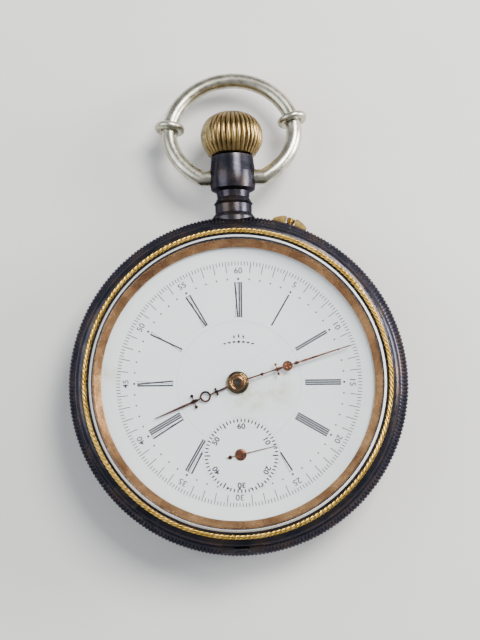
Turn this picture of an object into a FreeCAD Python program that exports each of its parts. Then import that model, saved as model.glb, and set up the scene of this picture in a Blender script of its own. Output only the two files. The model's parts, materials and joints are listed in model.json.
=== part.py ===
"""Open face pocket watch with a pin-set keyless movement, built as separate pieces.

Frame, in millimetres: the watch lies on its back with its dial up. +Z is the dial's
normal, +Y points to the pendant, +X to the right of the dial. The origin is on the
case's axis, in the plane that the back cover rests on.
"""

import FreeCAD, Part
import math
import os

from FreeCAD import Vector

# ---- driving dimensions ----------------------------------------------------

CASE_RADIUS = 25.0        # over the milled edge
STEM_Z = 6.4              # height of the stem, pendant, bow and set pin
EDGE_WIDEST_Z = 6.6       # height of the widest line of the case

BACK_FLAT_RADIUS = 12.0   # flat centre that the watch rests on
BACK_THICKNESS = 0.55
BAND_Z = (3.4, 10.3)
BAND_BORE_LOW = 20.3      # below the main plate
BAND_BORE_HIGH = 21.0     # round the main plate and the dial
PLATE_RADIUS = 20.95
PLATE_Z = (6.9, 8.4)
DIAL_Z = (9.3, 10.1)
DIAL_RADIUS = 20.6
DIAL_HOLE = 1.15
DIAL_TWIST = -1.1         # degrees the dial sits turned from the pendant
BEZEL_Z = (10.35, 11.9)
CRYSTAL_Z = (11.78, 12.95)
CRYSTAL_RADIUS = 21.38
CRYSTAL_FLAT = 21.08      # the flat inside the bevelled edge
REFLECTOR_RADIUS = 19.85  # opening that shows the dial
ROPE_RADIUS = 22.1        # centre line of the rope ring
ROPE_WIRE = 0.33
ROPE_Z = 12.1

BEZEL_HINGE = (-24.0, 10.3)     # (y, z) of the hinge pins, which lie along X
BACK_HINGE = (-23.85, 3.33)
HINGE_RADIUS = 0.45
HINGE_PIN_RADIUS = 0.2
HINGE_MIDDLE = 1.0        # half length of the middle knuckle
HINGE_HALF = 3.0          # half length of the bezel's hinge
BACK_HINGE_HALF = 4.5
SIDE_GAP = 0.05           # gap beside and round a knuckle
RUNNING_GAP = 0.04        # radial gap of a shaft in its hole

BRIDGE_Z = (2.7, 3.9)
COCK_Z = (2.3, 3.3)
PALLET_BRIDGE_Z = (4.6, 4.9)

HOUR_HAND_Z = (10.4, 10.6)
MINUTE_HAND_Z = (10.9, 11.08)
SECONDS_HAND_Z = (10.18, 10.28)
HOUR_HAND_LENGTH = 13.1
MINUTE_HAND_LENGTH = 17.1
SECONDS_HAND_LENGTH = 5.35
HOUR_HAND_ANGLE = 247.0      # clockwise from the dial's twelve
MINUTE_HAND_ANGLE = 72.5
SECONDS_HAND_ANGLE = 76.8

PENDANT_TOP = 34.3
PENDANT_BORE = 0.75       # radius of the bore that the stem turns in
PIVOT_Y = 31.2            # axis that the bow swings on
BOW_WIRE = 1.17
BOW_HALF_WIDTH = 9.5
BOW_HALF_HEIGHT = 8.6
BOW_CENTRE_ABOVE_PIVOT = 7.4
BOW_SIDE_ARC = 7.3
BOW_DROOP = 9.0           # degrees the bow hangs below the case's plane
COLLAR_RADIUS = 2.3
COLLAR_HALF = 0.5
COLLAR_ANGLES = (14.0, 173.0)

CROWN_RADIUS = 4.67
CROWN_FOOT = 34.5         # lower face of the crown's ball
CROWN_TOP = 41.2
CROWN_NECK = (1.65, 32.9) # radius and lower end of the crown's neck
STEM_RADIUS = 0.55
STEM_SQUARE = 0.38        # half side of the stem's square end
STEM_END = 38.4
SET_PIN_ANGLE = 70.6      # direction of the set pin, anticlockwise from +X

SET_PIN_RADIUS = 0.5
GUARD_HALF_LENGTH = 2.6
GUARD_HALF_HEIGHT = 1.3
GUARD_GAP = 0.72          # half width of the slot that the set pin's head sits in
GUARD_REACH = 26.15
GUARD_BOW = 4.0           # radius of the guard's outline, seen from above

# ---- the train: tooth counts, modules and arbor places ----------------------

BARREL_TEETH, CENTRE_PINION_TEETH, BARREL_MODULE = 96, 12, 0.19
CENTRE_TEETH, THIRD_PINION_TEETH, CENTRE_MODULE = 80, 10, 0.13
THIRD_TEETH, FOURTH_PINION_TEETH, THIRD_MODULE = 75, 10, 0.115
FOURTH_TEETH, ESCAPE_PINION_TEETH, FOURTH_MODULE = 80, 8, 0.10
ESCAPE_TEETH, ESCAPE_RADIUS = 15, 2.5
CANNON_TEETH, MINUTE_TEETH, CANNON_MODULE = 12, 36, 0.125
MINUTE_PINION_TEETH, HOUR_TEETH, HOUR_MODULE = 10, 40, 0.12
SETTING_TEETH = 64
RATCHET_TEETH, CROWN_WHEEL_TEETH, RATCHET_MODULE = 36, 40, 0.25
WINDING_PINION_TEETH, WINDING_PINION_MODULE = 16, 0.2

SECONDS_RADIUS = 10.43    # seconds arbor from the centre
SECONDS_TWIST = 0.8       # degrees the seconds arbor sits off the line below the pendant
BARREL_ANGLE = 40.0
ESCAPE_ANGLE = 173.5      # from the fourth arbor
ESCAPEMENT_LINE = 151.2   # escape, pallet and balance arbors in one line
MINUTE_WHEEL_ANGLE = 90.0
PALLET_CENTRES = 2.887
BALANCE_CENTRES = 3.91
PALLET_STONE_WIDTH = 0.2
FORK_CLEARANCE = 0.17     # from the escape teeth, so that the rocking fork stays clear of them

PIVOT_RADIUS = 0.1
ARBOR_RADIUS = 0.25
JEWEL_RADIUS = 0.6
JEWEL_GAP = 0.02
JEWEL_HEIGHT = 0.5
PALLET_JEWEL = 0.45
SECONDS_POST = 0.14       # the fourth arbor where the seconds hand sits
SECONDS_ARBOR = 0.2       # the fourth arbor where it passes the plate
POST_RADIUS = 0.3         # posts of the wheels under the dial
CANNON_RADIUS = 0.62
HOUR_PIPE = 1.0
BALANCE_HUB = 0.95        # boss that the regulator turns on

BARREL_Z = (4.75, 6.6)
BARREL_TEETH_Z = (6.0, 6.4)
DRUM_RADIUS, DRUM_BORE = 8.6, 8.2
RATCHET_Z = (4.0, 4.45)
CENTRE_WHEEL_Z = (4.1, 4.4)
CENTRE_PINION_Z = (5.0, 6.7)
THIRD_WHEEL_Z = (5.2, 5.45)
THIRD_PINION_Z = (4.0, 4.7)
FOURTH_WHEEL_Z = (6.2, 6.45)
FOURTH_PINION_Z = (5.0, 5.7)
ESCAPE_WHEEL_Z = (5.15, 5.35)
ESCAPE_PINION_Z = (6.0, 6.6)
BALANCE_Z = (4.0, 4.5)
ROLLER_Z = (4.65, 4.85)
HAIRSPRING_Z = (3.5, 3.8)
REGULATOR_Z = (2.06, 2.27)
CANNON_Z = (8.44, 8.78)
MINUTE_WHEEL_Z = (8.45, 8.7)
HOUR_WHEEL_Z = (8.84, 9.1)


def polar(radius, angle, origin=(0.0, 0.0)):
    """Point at a radius and an angle in degrees from an origin."""
    turn = math.radians(angle)
    return (origin[0] + radius * math.cos(turn), origin[1] + radius * math.sin(turn))


def bearing(start, end):
    """Angle in degrees from one point to another."""
    return math.degrees(math.atan2(end[1] - start[1], end[0] - start[0]))


def meeting_point(first, first_radius, second, second_radius):
    """Point at the given distances from two points, to the right of the line."""
    gap = math.dist(first, second)
    along = (first_radius ** 2 - second_radius ** 2 + gap ** 2) / (2 * gap)
    aside = math.sqrt(first_radius ** 2 - along ** 2)
    line = bearing(first, second)
    return polar(aside, line + 90, polar(along, line, first))


def centres(module, teeth, pinion_teeth):
    """Distance between the arbors of a wheel and its pinion."""
    return module * (teeth + pinion_teeth) / 2


CENTRE = (0.0, 0.0)
FOURTH = polar(SECONDS_RADIUS, 270 + SECONDS_TWIST)
THIRD = meeting_point(
    CENTRE, centres(CENTRE_MODULE, CENTRE_TEETH, THIRD_PINION_TEETH),
    FOURTH, centres(THIRD_MODULE, THIRD_TEETH, FOURTH_PINION_TEETH))
ESCAPE = polar(centres(FOURTH_MODULE, FOURTH_TEETH, ESCAPE_PINION_TEETH),
               ESCAPE_ANGLE, FOURTH)
PALLET = polar(PALLET_CENTRES, ESCAPEMENT_LINE, ESCAPE)
BALANCE = polar(BALANCE_CENTRES, ESCAPEMENT_LINE, PALLET)
BARREL = polar(centres(BARREL_MODULE, BARREL_TEETH, CENTRE_PINION_TEETH), BARREL_ANGLE)
MINUTE = polar(centres(CANNON_MODULE, MINUTE_TEETH, CANNON_TEETH), MINUTE_WHEEL_ANGLE)
SETTING = (0.0, MINUTE[1] + centres(CANNON_MODULE, SETTING_TEETH, MINUTE_TEETH))
WINDING_CENTRES = centres(RATCHET_MODULE, CROWN_WHEEL_TEETH, RATCHET_TEETH)
CROWN_WHEEL = (0.0, BARREL[1] + math.sqrt(WINDING_CENTRES ** 2 - BARREL[0] ** 2))
CLICK_PIVOT = polar(6.5, 8, BARREL)
LEVER_PIVOT = (10.4, 16.2)
LEVER_Z = (6.65, 6.86)
LEVER_POST = 0.4
CLICK_POST = 0.4

PILLAR_RADIUS = 1.4
SCREW_RADIUS = 0.45
BARREL_PILLARS = [polar(17.5, 112), polar(17.5, -15)]
TRAIN_PILLARS = [polar(17.0, -60), polar(17.5, -115)]
COCK_FOOT = (-15.5, 1.5)
PALLET_FOOT = polar(3.4, ESCAPEMENT_LINE - 105, PALLET)


# ---- shape helpers ----------------------------------------------------------

def save(shape, name):
    """Write one node, checked to be valid and closed."""
    assert shape.isValid(), name
    assert all(solid.isClosed() for solid in shape.Solids) and shape.Solids, name
    shape.exportStep("parts/" + name + ".step")
    print(name, len(shape.Solids), round(shape.Volume, 3))


def cylinder(point, radius, low, high):
    """Upright cylinder between two heights."""
    return Part.makeCylinder(radius, high - low, Vector(point[0], point[1], low))


def ring(point, outer, inner, low, high):
    """Upright ring between two heights."""
    return cylinder(point, outer, low, high).cut(
        cylinder(point, inner, low - 1, high + 1))


def box(low, high):
    """Box between two corners."""
    return Part.makeBox(high[0] - low[0], high[1] - low[1], high[2] - low[2],
                        Vector(*low))


def prism(points, low, high):
    """Upright prism over a closed outline."""
    corners = [Vector(x, y, low) for x, y in points]
    face = Part.Face(Part.makePolygon(corners + corners[:1]))
    return face.extrude(Vector(0, 0, high - low))


def turned(profile, splined=False):
    """Solid of revolution about Z from (radius, z) points; a 4-tuple is an arc.

    An arc entry holds a middle point and then its end point. A splined profile has its
    arcs as spline curves, for arcs whose centre lies near or beyond the axis.
    """
    edges = []
    previous = Vector(profile[0][0], 0, profile[0][1])
    for entry in profile[1:] + profile[:1]:
        end = Vector(entry[-2], 0, entry[-1])
        if len(entry) == 4:
            middle = Vector(entry[0], 0, entry[1])
            arc = Part.Arc(previous, middle, end)
            edges.append((arc.toBSpline() if splined else arc).toShape())
        else:
            edges.append(Part.LineSegment(previous, end).toShape())
        previous = end
    face = Part.Face(Part.Wire(edges))
    return face.revolve(Vector(0, 0, 0), Vector(0, 0, 1), 360)


def about_stem(shape):
    """Turn a shape made about Z so that its axis is the stem's, along +Y."""
    placed = shape.copy()
    placed.rotate(Vector(0, 0, 0), Vector(1, 0, 0), -90)
    placed.translate(Vector(0, 0, STEM_Z))
    return placed


def spun(shape, angle, point=CENTRE):
    """Copy of a shape turned about an upright axis."""
    placed = shape.copy()
    placed.rotate(Vector(point[0], point[1], 0), Vector(0, 0, 1), angle)
    return placed


def moved(shape, point):
    """Copy of a shape moved from the centre to a point."""
    placed = shape.copy()
    placed.translate(Vector(point[0], point[1], 0))
    return placed


def joined(shapes):
    """One solid out of pieces that overlap or touch."""
    first, *rest = shapes
    return first.fuse(rest).removeSplitter() if rest else first


def capsule(start, start_radius, end, end_radius, low, high):
    """Flat bar with round ends of two sizes."""
    line = bearing(start, end)
    lean = math.degrees(math.asin((start_radius - end_radius) / math.dist(start, end)))
    side = 90 - lean
    outline = [polar(start_radius, line + side, start), polar(start_radius, line - side, start),
               polar(end_radius, line - side, end), polar(end_radius, line + side, end)]
    return joined([prism(outline, low, high), cylinder(start, start_radius, low, high),
                   cylinder(end, end_radius, low, high)])


def sector(inner, outer, start, end, low, high):
    """Part of a ring between two angles in degrees."""
    whole = ring(CENTRE, outer, inner, low, high) if inner else cylinder(
        CENTRE, outer, low, high)
    reach = outer * 3
    middle = (start + end) / 2
    outline = [CENTRE, polar(reach, start), polar(reach, middle), polar(reach, end)]
    return whole.common(prism(outline, low, high))


def gear(teeth, module, low, high, tooth_angle=0.0, tip=1.0, root=1.2):
    """Spur gear at the centre, with one tooth centred on an angle."""
    pitch_radius = module * teeth / 2
    step = 360 / teeth
    outline = []
    for tooth in range(teeth):
        middle = tooth_angle + tooth * step
        for radius, share in ((pitch_radius - root * module, -0.28),
                              (pitch_radius, -0.21), (pitch_radius + tip * module, -0.07),
                              (pitch_radius + tip * module, 0.07), (pitch_radius, 0.21),
                              (pitch_radius - root * module, 0.28)):
            outline.append(polar(radius, middle + share * step))
    return prism(outline, low, high)


def crossed(wheel, rim, hub, arms, arm_width, low, high, angle=0.0):
    """Wheel with windows cut between its arms."""
    window = ring(CENTRE, rim, hub, low - 1, high + 1)
    for arm in range(arms):
        bar = box((0, -arm_width / 2, low - 2), (rim + 1, arm_width / 2, high + 2))
        window = window.cut(spun(bar, angle + arm * 360 / arms))
    return wheel.cut(window)


def arbor(spans):
    """Stepped arbor at the centre from (radius, low, high) spans."""
    return joined([cylinder(CENTRE, radius, low, high) for radius, low, high in spans])


def spiral(inner, outer, turns, width, low, high):
    """Flat coiled spring of an even pitch, in short straight runs."""
    steps = turns * 24

    def side(shift):
        return [polar(inner + (outer - inner) * step / steps + shift, 360 * turns * step / steps)
                for step in range(steps + 1)]

    return prism(side(-width / 2) + side(width / 2)[::-1], low, high)


def along_x(radius, start, end, y, z):
    """Cylinder lying along X."""
    return Part.makeCylinder(radius, end - start, Vector(start, y, z), Vector(1, 0, 0))


def knuckle(start, end, y, z, bore):
    """One hinge knuckle along X with its bore."""
    return along_x(HINGE_RADIUS, start, end, y, z).cut(
        along_x(bore, start - 1, end + 1, y, z))


# ---- case -------------------------------------------------------------------

BAND_PROFILE = [(23.9, BAND_Z[0]), (24.75, 4.5), (24.95, 5.4, CASE_RADIUS, EDGE_WIDEST_Z),
                (24.72, 8.8, 23.6, BAND_Z[1])]


def band_envelope():
    """The band's outer shape as a solid disc."""
    return turned([(0, BAND_Z[0])] + BAND_PROFILE + [(0, BAND_Z[1])])


def bezel_shape():
    """Bezel ring with its crystal seat, before the hinge is added."""
    low, high = BEZEL_Z
    seat_radius, seat_z = CRYSTAL_RADIUS + RUNNING_GAP, CRYSTAL_Z[0] - 0.03
    return turned([(20.95, low), (23.5, low), (23.5, low + 0.4), (23.2, 11.55, 22.45, high),
                   (seat_radius, high), (seat_radius, seat_z), (20.95, seat_z)])


def make_case():
    """Case band with hinge knuckles, pendant, pusher guard and hinge pins."""
    bore = cylinder(CENTRE, BAND_BORE_LOW, 0, PLATE_Z[0]).fuse(
        cylinder(CENTRE, BAND_BORE_HIGH, PLATE_Z[0], 20))
    band = band_envelope().cut(bore)
    stem_hole = about_stem(cylinder(CENTRE, PENDANT_BORE, 15, 30))
    pin_hole = spun(Part.makeCylinder(
        SET_PIN_RADIUS + RUNNING_GAP, 12, Vector(17, 0, STEM_Z), Vector(1, 0, 0)), SET_PIN_ANGLE)
    clearance = HINGE_RADIUS + SIDE_GAP
    band = band.cut([stem_hole, pin_hole,
                     along_x(clearance, -HINGE_HALF - SIDE_GAP, HINGE_HALF + SIDE_GAP,
                             *BEZEL_HINGE),
                     along_x(clearance, -HINGE_HALF - SIDE_GAP, HINGE_HALF + SIDE_GAP,
                             *BACK_HINGE)])
    y, z = BEZEL_HINGE
    middle_knuckle = along_x(HINGE_RADIUS, -HINGE_MIDDLE, HINGE_MIDDLE, y, z).fuse(
        box((-HINGE_MIDDLE, y, z - HINGE_RADIUS), (HINGE_MIDDLE, y + 1.0, z)))
    pieces = [band, middle_knuckle]
    y, z = BACK_HINGE
    for side in (-1, 1):
        ends = sorted((side * (HINGE_HALF + SIDE_GAP), side * BACK_HINGE_HALF))
        pieces.append(along_x(HINGE_RADIUS, ends[0], ends[1], y, z).fuse(
            box((ends[0], y, z + 0.1), (ends[1], y + 0.8, z + HINGE_RADIUS))))
    band = joined(pieces).cut([
        along_x(HINGE_PIN_RADIUS, -9, 9, *BEZEL_HINGE),
        along_x(HINGE_PIN_RADIUS, -9, 9, *BACK_HINGE)])
    save(band, "case_band")
    save(along_x(HINGE_PIN_RADIUS, -HINGE_HALF, HINGE_HALF, *BEZEL_HINGE),
         "bezel_hinge_pin")
    save(along_x(HINGE_PIN_RADIUS, -BACK_HINGE_HALF, BACK_HINGE_HALF, *BACK_HINGE),
         "back_hinge_pin")

    neck = about_stem(turned([
        (0, 24.1), (3.3, 24.1), (3.3, 24.9), (2.75, 25.6), (2.75, 26.9), (2.95, 27.1),
        (2.75, 27.3), (2.4, 28.0), (2.5, 28.9), (3.3, 29.3), (3.47, 31.0, 3.45, 31.8),
        (3.15, PENDANT_TOP), (0, PENDANT_TOP)]))
    bow_holes = along_x(BOW_WIRE + RUNNING_GAP, -9, -2.5, PIVOT_Y, STEM_Z).fuse(
        along_x(BOW_WIRE + RUNNING_GAP, 2.5, 9, PIVOT_Y, STEM_Z))
    neck_radius, neck_low = CROWN_NECK[0] + 0.1, CROWN_NECK[1] - 0.7
    stem_bore = about_stem(turned([(0, 20), (PENDANT_BORE, 20), (PENDANT_BORE, neck_low),
                                   (neck_radius, neck_low), (neck_radius, PENDANT_TOP + 1),
                                   (0, PENDANT_TOP + 1)]))
    save(neck.cut([band_envelope(), bow_holes, stem_bore]), "pendant")

    along, tall = GUARD_HALF_LENGTH, GUARD_HALF_HEIGHT
    guard = box((23.2, -along, STEM_Z - tall), (26.0, along, STEM_Z + tall)).fuse(
        Part.makeCylinder(tall, 2 * along, Vector(CASE_RADIUS, -along, STEM_Z),
                          Vector(0, 1, 0)))
    guard = guard.common(cylinder((GUARD_REACH - GUARD_BOW, 0), GUARD_BOW, 0, 20))
    guard = guard.cut(box((24.0, -GUARD_GAP, STEM_Z - 3), (27.0, GUARD_GAP, STEM_Z + 3)))
    save(spun(guard, SET_PIN_ANGLE).cut(band_envelope()), "set_pin_guard")


def make_bezel():
    """Bezel with its knuckles, rope ring, reflector ring and crystal."""
    groove = Part.makeTorus(ROPE_RADIUS, ROPE_WIRE + 0.02, Vector(0, 0, ROPE_Z))
    y, z = BEZEL_HINGE
    pieces = [bezel_shape().cut(groove)]
    for side in (-1, 1):
        start, end = sorted((side * (HINGE_MIDDLE + SIDE_GAP), side * HINGE_HALF))
        pieces.append(along_x(HINGE_RADIUS, start, end, y, z).fuse(
            box((start, y, BEZEL_Z[0]), (end, y + 0.9, z + HINGE_RADIUS))))
    bore = along_x(HINGE_PIN_RADIUS + RUNNING_GAP, -9, 9, y, z)
    save(joined(pieces).cut(bore), "bezel")
    save(Part.makeTorus(ROPE_RADIUS, ROPE_WIRE, Vector(0, 0, ROPE_Z)), "rope_ring")
    inner = REFLECTOR_RADIUS
    save(turned([(inner, 10.45), (inner + 0.3, 10.45), (20.93, 11.35), (20.93, 11.72),
                 (20.75, 11.72), (inner, 10.65)]), "reflector_ring")
    low, high = CRYSTAL_Z
    save(turned([(0, low), (CRYSTAL_RADIUS, low), (CRYSTAL_RADIUS, high - 0.6),
                 (CRYSTAL_FLAT, high), (0, high)]), "crystal")


def make_covers():
    """Back cover and dust cover on their common hinge."""
    y, z = BACK_HINGE
    low = BACK_THICKNESS
    back = turned([(0, 0), (BACK_FLAT_RADIUS, 0), (18.2, 0.78, 23.6, 2.9), (23.6, 3.25),
                   (22.3, 3.25), (22.3, 2.85), (17.95, 0.78 + low, BACK_FLAT_RADIUS, low),
                   (0, low)])
    back = back.cut([
        box((-HINGE_MIDDLE - SIDE_GAP, y - 1, 2.72), (HINGE_MIDDLE + SIDE_GAP, -21.0, 4))])
    pieces = [back]
    for side in (-1, 1):
        start, end = sorted((side * (HINGE_MIDDLE + SIDE_GAP), side * HINGE_HALF))
        pieces.append(along_x(HINGE_RADIUS, start, end, y, z).fuse(
            box((start, y, 2.9), (end, y + 0.9, 3.25))))
    bore = along_x(HINGE_PIN_RADIUS + RUNNING_GAP, -9, 9, y, z)
    save(joined(pieces).cut(bore), "back_cover")

    dust = turned([(0, 1.5), (17.5, 1.5), (21.7, 3.0), (22.0, 3.0), (22.0, 3.3),
                   (21.5, 3.3), (17.4, 1.85), (0, 1.85)])
    tab = box((-HINGE_MIDDLE, y, 2.95), (HINGE_MIDDLE, -21.7, 3.3))
    barrel = along_x(HINGE_RADIUS, -HINGE_MIDDLE, HINGE_MIDDLE, y, z)
    save(joined([dust, tab, barrel]).cut(bore), "dust_cover")


def make_bow():
    """Round wire bow with two collars, drooping a little below the case."""
    top_arc = ((BOW_HALF_WIDTH - BOW_SIDE_ARC) ** 2 + BOW_HALF_HEIGHT ** 2
               - BOW_SIDE_ARC ** 2) / (2 * (BOW_HALF_HEIGHT - BOW_SIDE_ARC))
    side_x = BOW_HALF_WIDTH - BOW_SIDE_ARC
    drop = top_arc - BOW_HALF_HEIGHT
    tangent = math.degrees(math.atan2(drop, side_x))
    centre_y = PIVOT_Y + BOW_CENTRE_ABOVE_PIVOT
    end_angle = -math.degrees(math.asin((BOW_CENTRE_ABOVE_PIVOT + drop) / top_arc))

    def at(radius, angle, x, y):
        px, py = polar(radius, angle, (x, y))
        return Vector(px, centre_y + py, STEM_Z)

    right = [at(top_arc, end_angle, 0, drop), at(top_arc, (end_angle - tangent) / 2, 0, drop),
             at(top_arc, -tangent, 0, drop)]
    side = [right[2], at(BOW_SIDE_ARC, 0, side_x, 0), at(BOW_SIDE_ARC, tangent, side_x, 0)]

    def mirror(points):
        return [Vector(-p.x, p.y, p.z) for p in reversed(points)]

    top = [side[2], at(top_arc, 90, 0, -drop), mirror(side)[0]]
    arcs = [right, side, top, mirror(side), mirror(right)]
    path = Part.Wire([Part.Arc(*points).toShape() for points in arcs])
    start = right[0]
    direction = Vector(-(start.y - centre_y - drop), start.x, 0)
    circle = Part.Wire([Part.makeCircle(BOW_WIRE, start, direction)])
    wire = path.makePipeShell([circle], True, False)
    tips = []
    for sign in (-1, 1):
        tips.append(Part.makeSphere(BOW_WIRE, Vector(sign * start.x, PIVOT_Y, STEM_Z)))
        inner, outer = sorted((sign * 2.55, sign * start.x))
        tips.append(along_x(BOW_WIRE, inner, outer, PIVOT_Y, STEM_Z))
    bow = joined([wire] + tips)

    collars = []
    for angle in COLLAR_ANGLES:
        spot = at(BOW_SIDE_ARC, angle if angle < 90 else 180 - angle, side_x, 0)
        heading = angle + 90
        if angle > 90:
            spot.x = -spot.x
        axis = Vector(math.cos(math.radians(heading)), math.sin(math.radians(heading)), 0)
        collar = Part.makeCylinder(COLLAR_RADIUS, 2 * COLLAR_HALF, spot - axis * COLLAR_HALF,
                                   axis)
        collars.append(collar.makeFillet(0.35, collar.Edges).cut(bow))
    collars = Part.makeCompound([c.Solids[0] for c in collars])
    for shape, name in ((bow, "bow"), (collars, "bow_collars")):
        shape.rotate(Vector(0, PIVOT_Y, STEM_Z), Vector(1, 0, 0), -BOW_DROOP)
        save(shape, name)


def make_winding():
    """Crown, stem, winding and sliding pinions."""
    neck_radius, neck_low = CROWN_NECK
    foot, top = CROWN_FOOT, CROWN_TOP
    crown = about_stem(turned([
        (STEM_RADIUS, neck_low), (neck_radius, neck_low), (neck_radius, foot), (3.5, foot),
        (3.75, foot + 0.45), (CROWN_RADIUS, foot + 3.45, 3.6, top - 1.13),
        (2.2, top - 0.26, 0.5, top), (0, top), (0, STEM_END), (STEM_RADIUS, STEM_END)],
        splined=True))
    save(crown, "crown")
    square = STEM_SQUARE
    stem = joined([
        about_stem(cylinder(CENTRE, STEM_RADIUS, 17.0, STEM_END)),
        box((-square, 12.9, STEM_Z - square), (square, 17.5, STEM_Z + square))])
    save(stem, "stem")
    pinion = gear(WINDING_PINION_TEETH, WINDING_PINION_MODULE, 15.8, 16.9)
    save(about_stem(pinion).cut(stem), "winding_pinion")
    square += RUNNING_GAP
    slot = box((-square, 10, STEM_Z - square), (square, 17, STEM_Z + square))
    sliding = about_stem(turned([(0, 13.95), (1.3, 13.95), (1.3, 14.4), (0.9, 14.4),
                                 (0.9, 14.9), (1.3, 14.9), (1.3, 15.6), (0, 15.6)]))
    save(sliding.cut(slot), "sliding_pinion")


def make_set_pin():
    """Set pin in the band and the setting lever that it pushes."""
    pin = Part.makeCylinder(SET_PIN_RADIUS, 6.3, Vector(19.5, 0, STEM_Z), Vector(1, 0, 0))
    head = Part.makeCylinder(0.62, 0.6, Vector(25.5, 0, STEM_Z), Vector(1, 0, 0))
    pin = joined([pin, head])
    save(spun(pin, SET_PIN_ANGLE), "set_pin")

    low, high = LEVER_Z
    elbow = polar(18.9, SET_PIN_ANGLE)
    lever = joined([capsule(LEVER_PIVOT, 0.7, elbow, 0.5, low, high),
                    capsule(elbow, 0.5, (1.35, 14.65), 0.2, low, high)])
    lever = lever.cut(cylinder(LEVER_PIVOT, LEVER_POST + RUNNING_GAP, 0, 20))
    save(lever, "setting_lever")


# ---- movement ---------------------------------------------------------------

def make_plates():
    """Main plate, the bridges and the balance cock."""
    low, high = PLATE_Z
    rim = ring(CENTRE, PLATE_RADIUS, 19.6, high, DIAL_Z[0])
    stem_block = box((-1.6, 17.3, 5.2), (1.6, 19.9, low))
    lever_post = cylinder(LEVER_PIVOT, LEVER_POST, LEVER_Z[0], low)
    plate = joined([cylinder(CENTRE, PLATE_RADIUS, low, high), rim, stem_block, lever_post])
    holes = [cylinder(CENTRE, 0.45, 0, 20), cylinder(BARREL, 0.7, 0, 7.6),
             cylinder(FOURTH, 0.3, 0, 20),
             box((-2.0, 13.0, 0), (2.0, 17.25, 20)),
             about_stem(cylinder(CENTRE, STEM_RADIUS + RUNNING_GAP, 10, 30)),
             spun(box((17, -0.65, 4), (22, 0.65, low + 0.1)), SET_PIN_ANGLE)]
    for point in (THIRD, FOURTH, ESCAPE, PALLET, BALANCE):
        holes.append(cylinder(point, JEWEL_RADIUS, 0, low + JEWEL_HEIGHT))
    posts = [cylinder(MINUTE, POST_RADIUS, high - 0.5, 9.15),
             cylinder(SETTING, POST_RADIUS, high - 0.5, 8.85)]
    plate = plate.cut(holes)
    save(joined([plate] + posts), "main_plate")

    low, high = BRIDGE_Z
    pillars = [cylinder(point, PILLAR_RADIUS, high, PLATE_Z[0]) for point in BARREL_PILLARS]
    bridge = joined([sector(0, 19.6, -26, 124, low, high), cylinder(CENTRE, 2.4, low, high),
                     cylinder(CROWN_WHEEL, 0.6, high, 4.5),
                     cylinder(CLICK_PIVOT, CLICK_POST, high, 4.5)] + pillars)
    screws = [cylinder(p, SCREW_RADIUS, 0, 20) for p in BARREL_PILLARS]
    bridge = bridge.cut([cylinder(CENTRE, ARBOR_RADIUS + RUNNING_GAP, 0, high),
                         cylinder(BARREL, 0.9 + RUNNING_GAP, 0, high)] + screws)
    save(bridge, "barrel_bridge")

    pillars = [cylinder(point, PILLAR_RADIUS, high, PLATE_Z[0]) for point in TRAIN_PILLARS]
    bridge = joined([sector(3.0, 19.6, -130, -42, low, high)] + pillars)
    holes = [cylinder(p, JEWEL_RADIUS, high - JEWEL_HEIGHT, 5) for p in (THIRD, FOURTH, ESCAPE)]
    holes += [cylinder(p, 0.3, 0, 5) for p in (THIRD, FOURTH, ESCAPE)]
    holes += [cylinder(p, SCREW_RADIUS, 0, 20) for p in TRAIN_PILLARS]
    save(bridge.cut(holes), "train_bridge")

    low, high = COCK_Z
    cock = joined([capsule(COCK_FOOT, 2.4, BALANCE, 1.7, low, high),
                   cylinder(COCK_FOOT, 1.7, high, PLATE_Z[0]),
                   cylinder(BALANCE, BALANCE_HUB, low - 0.25, low)])
    cock = cock.cut([cylinder(BALANCE, JEWEL_RADIUS, high - JEWEL_HEIGHT, 5),
                     cylinder(COCK_FOOT, SCREW_RADIUS, 0, 20)])
    save(cock, "balance_cock")

    low, high = PALLET_BRIDGE_Z
    bridge = joined([capsule(PALLET_FOOT, 0.9, PALLET, 0.7, low, high),
                     cylinder(PALLET_FOOT, 0.9, high, PLATE_Z[0])])
    save(bridge.cut([cylinder(PALLET, PALLET_JEWEL, 0, 10)]), "pallet_bridge")


def make_jewels_and_screws():
    """Bearing jewels, and the screws of the bridges, as groups of solids."""
    def jewel(point, low, outer=JEWEL_RADIUS, pivot=PIVOT_RADIUS, height=JEWEL_HEIGHT):
        return ring(point, outer, pivot + JEWEL_GAP, low, low + height)

    jewels = [jewel(p, PLATE_Z[0]) for p in (THIRD, ESCAPE, PALLET, BALANCE)]
    jewels.append(jewel(FOURTH, PLATE_Z[0], pivot=SECONDS_ARBOR))
    jewels += [jewel(p, BRIDGE_Z[1] - JEWEL_HEIGHT) for p in (THIRD, FOURTH, ESCAPE)]
    jewels.append(jewel(BALANCE, COCK_Z[1] - JEWEL_HEIGHT))
    low, high = PALLET_BRIDGE_Z
    jewels.append(jewel(PALLET, low, PALLET_JEWEL, height=high - low))
    save(Part.makeCompound(jewels), "jewels")
    screws = []
    for point, base in [(p, BRIDGE_Z[0]) for p in BARREL_PILLARS + TRAIN_PILLARS] + [
            (COCK_FOOT, COCK_Z[0])]:
        screw = joined([cylinder(point, SCREW_RADIUS, base, PLATE_Z[0]),
                        cylinder(point, 1.0, base - 0.35, base)])
        slot = box((point[0] - 1.2, point[1] - 0.1, base - 0.4),
                   (point[0] + 1.2, point[1] + 0.1, base - 0.15))
        screws.append(spun(screw.cut(slot), 37 * len(screws), point))
    save(Part.makeCompound(screws), "bridge_screws")


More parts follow.
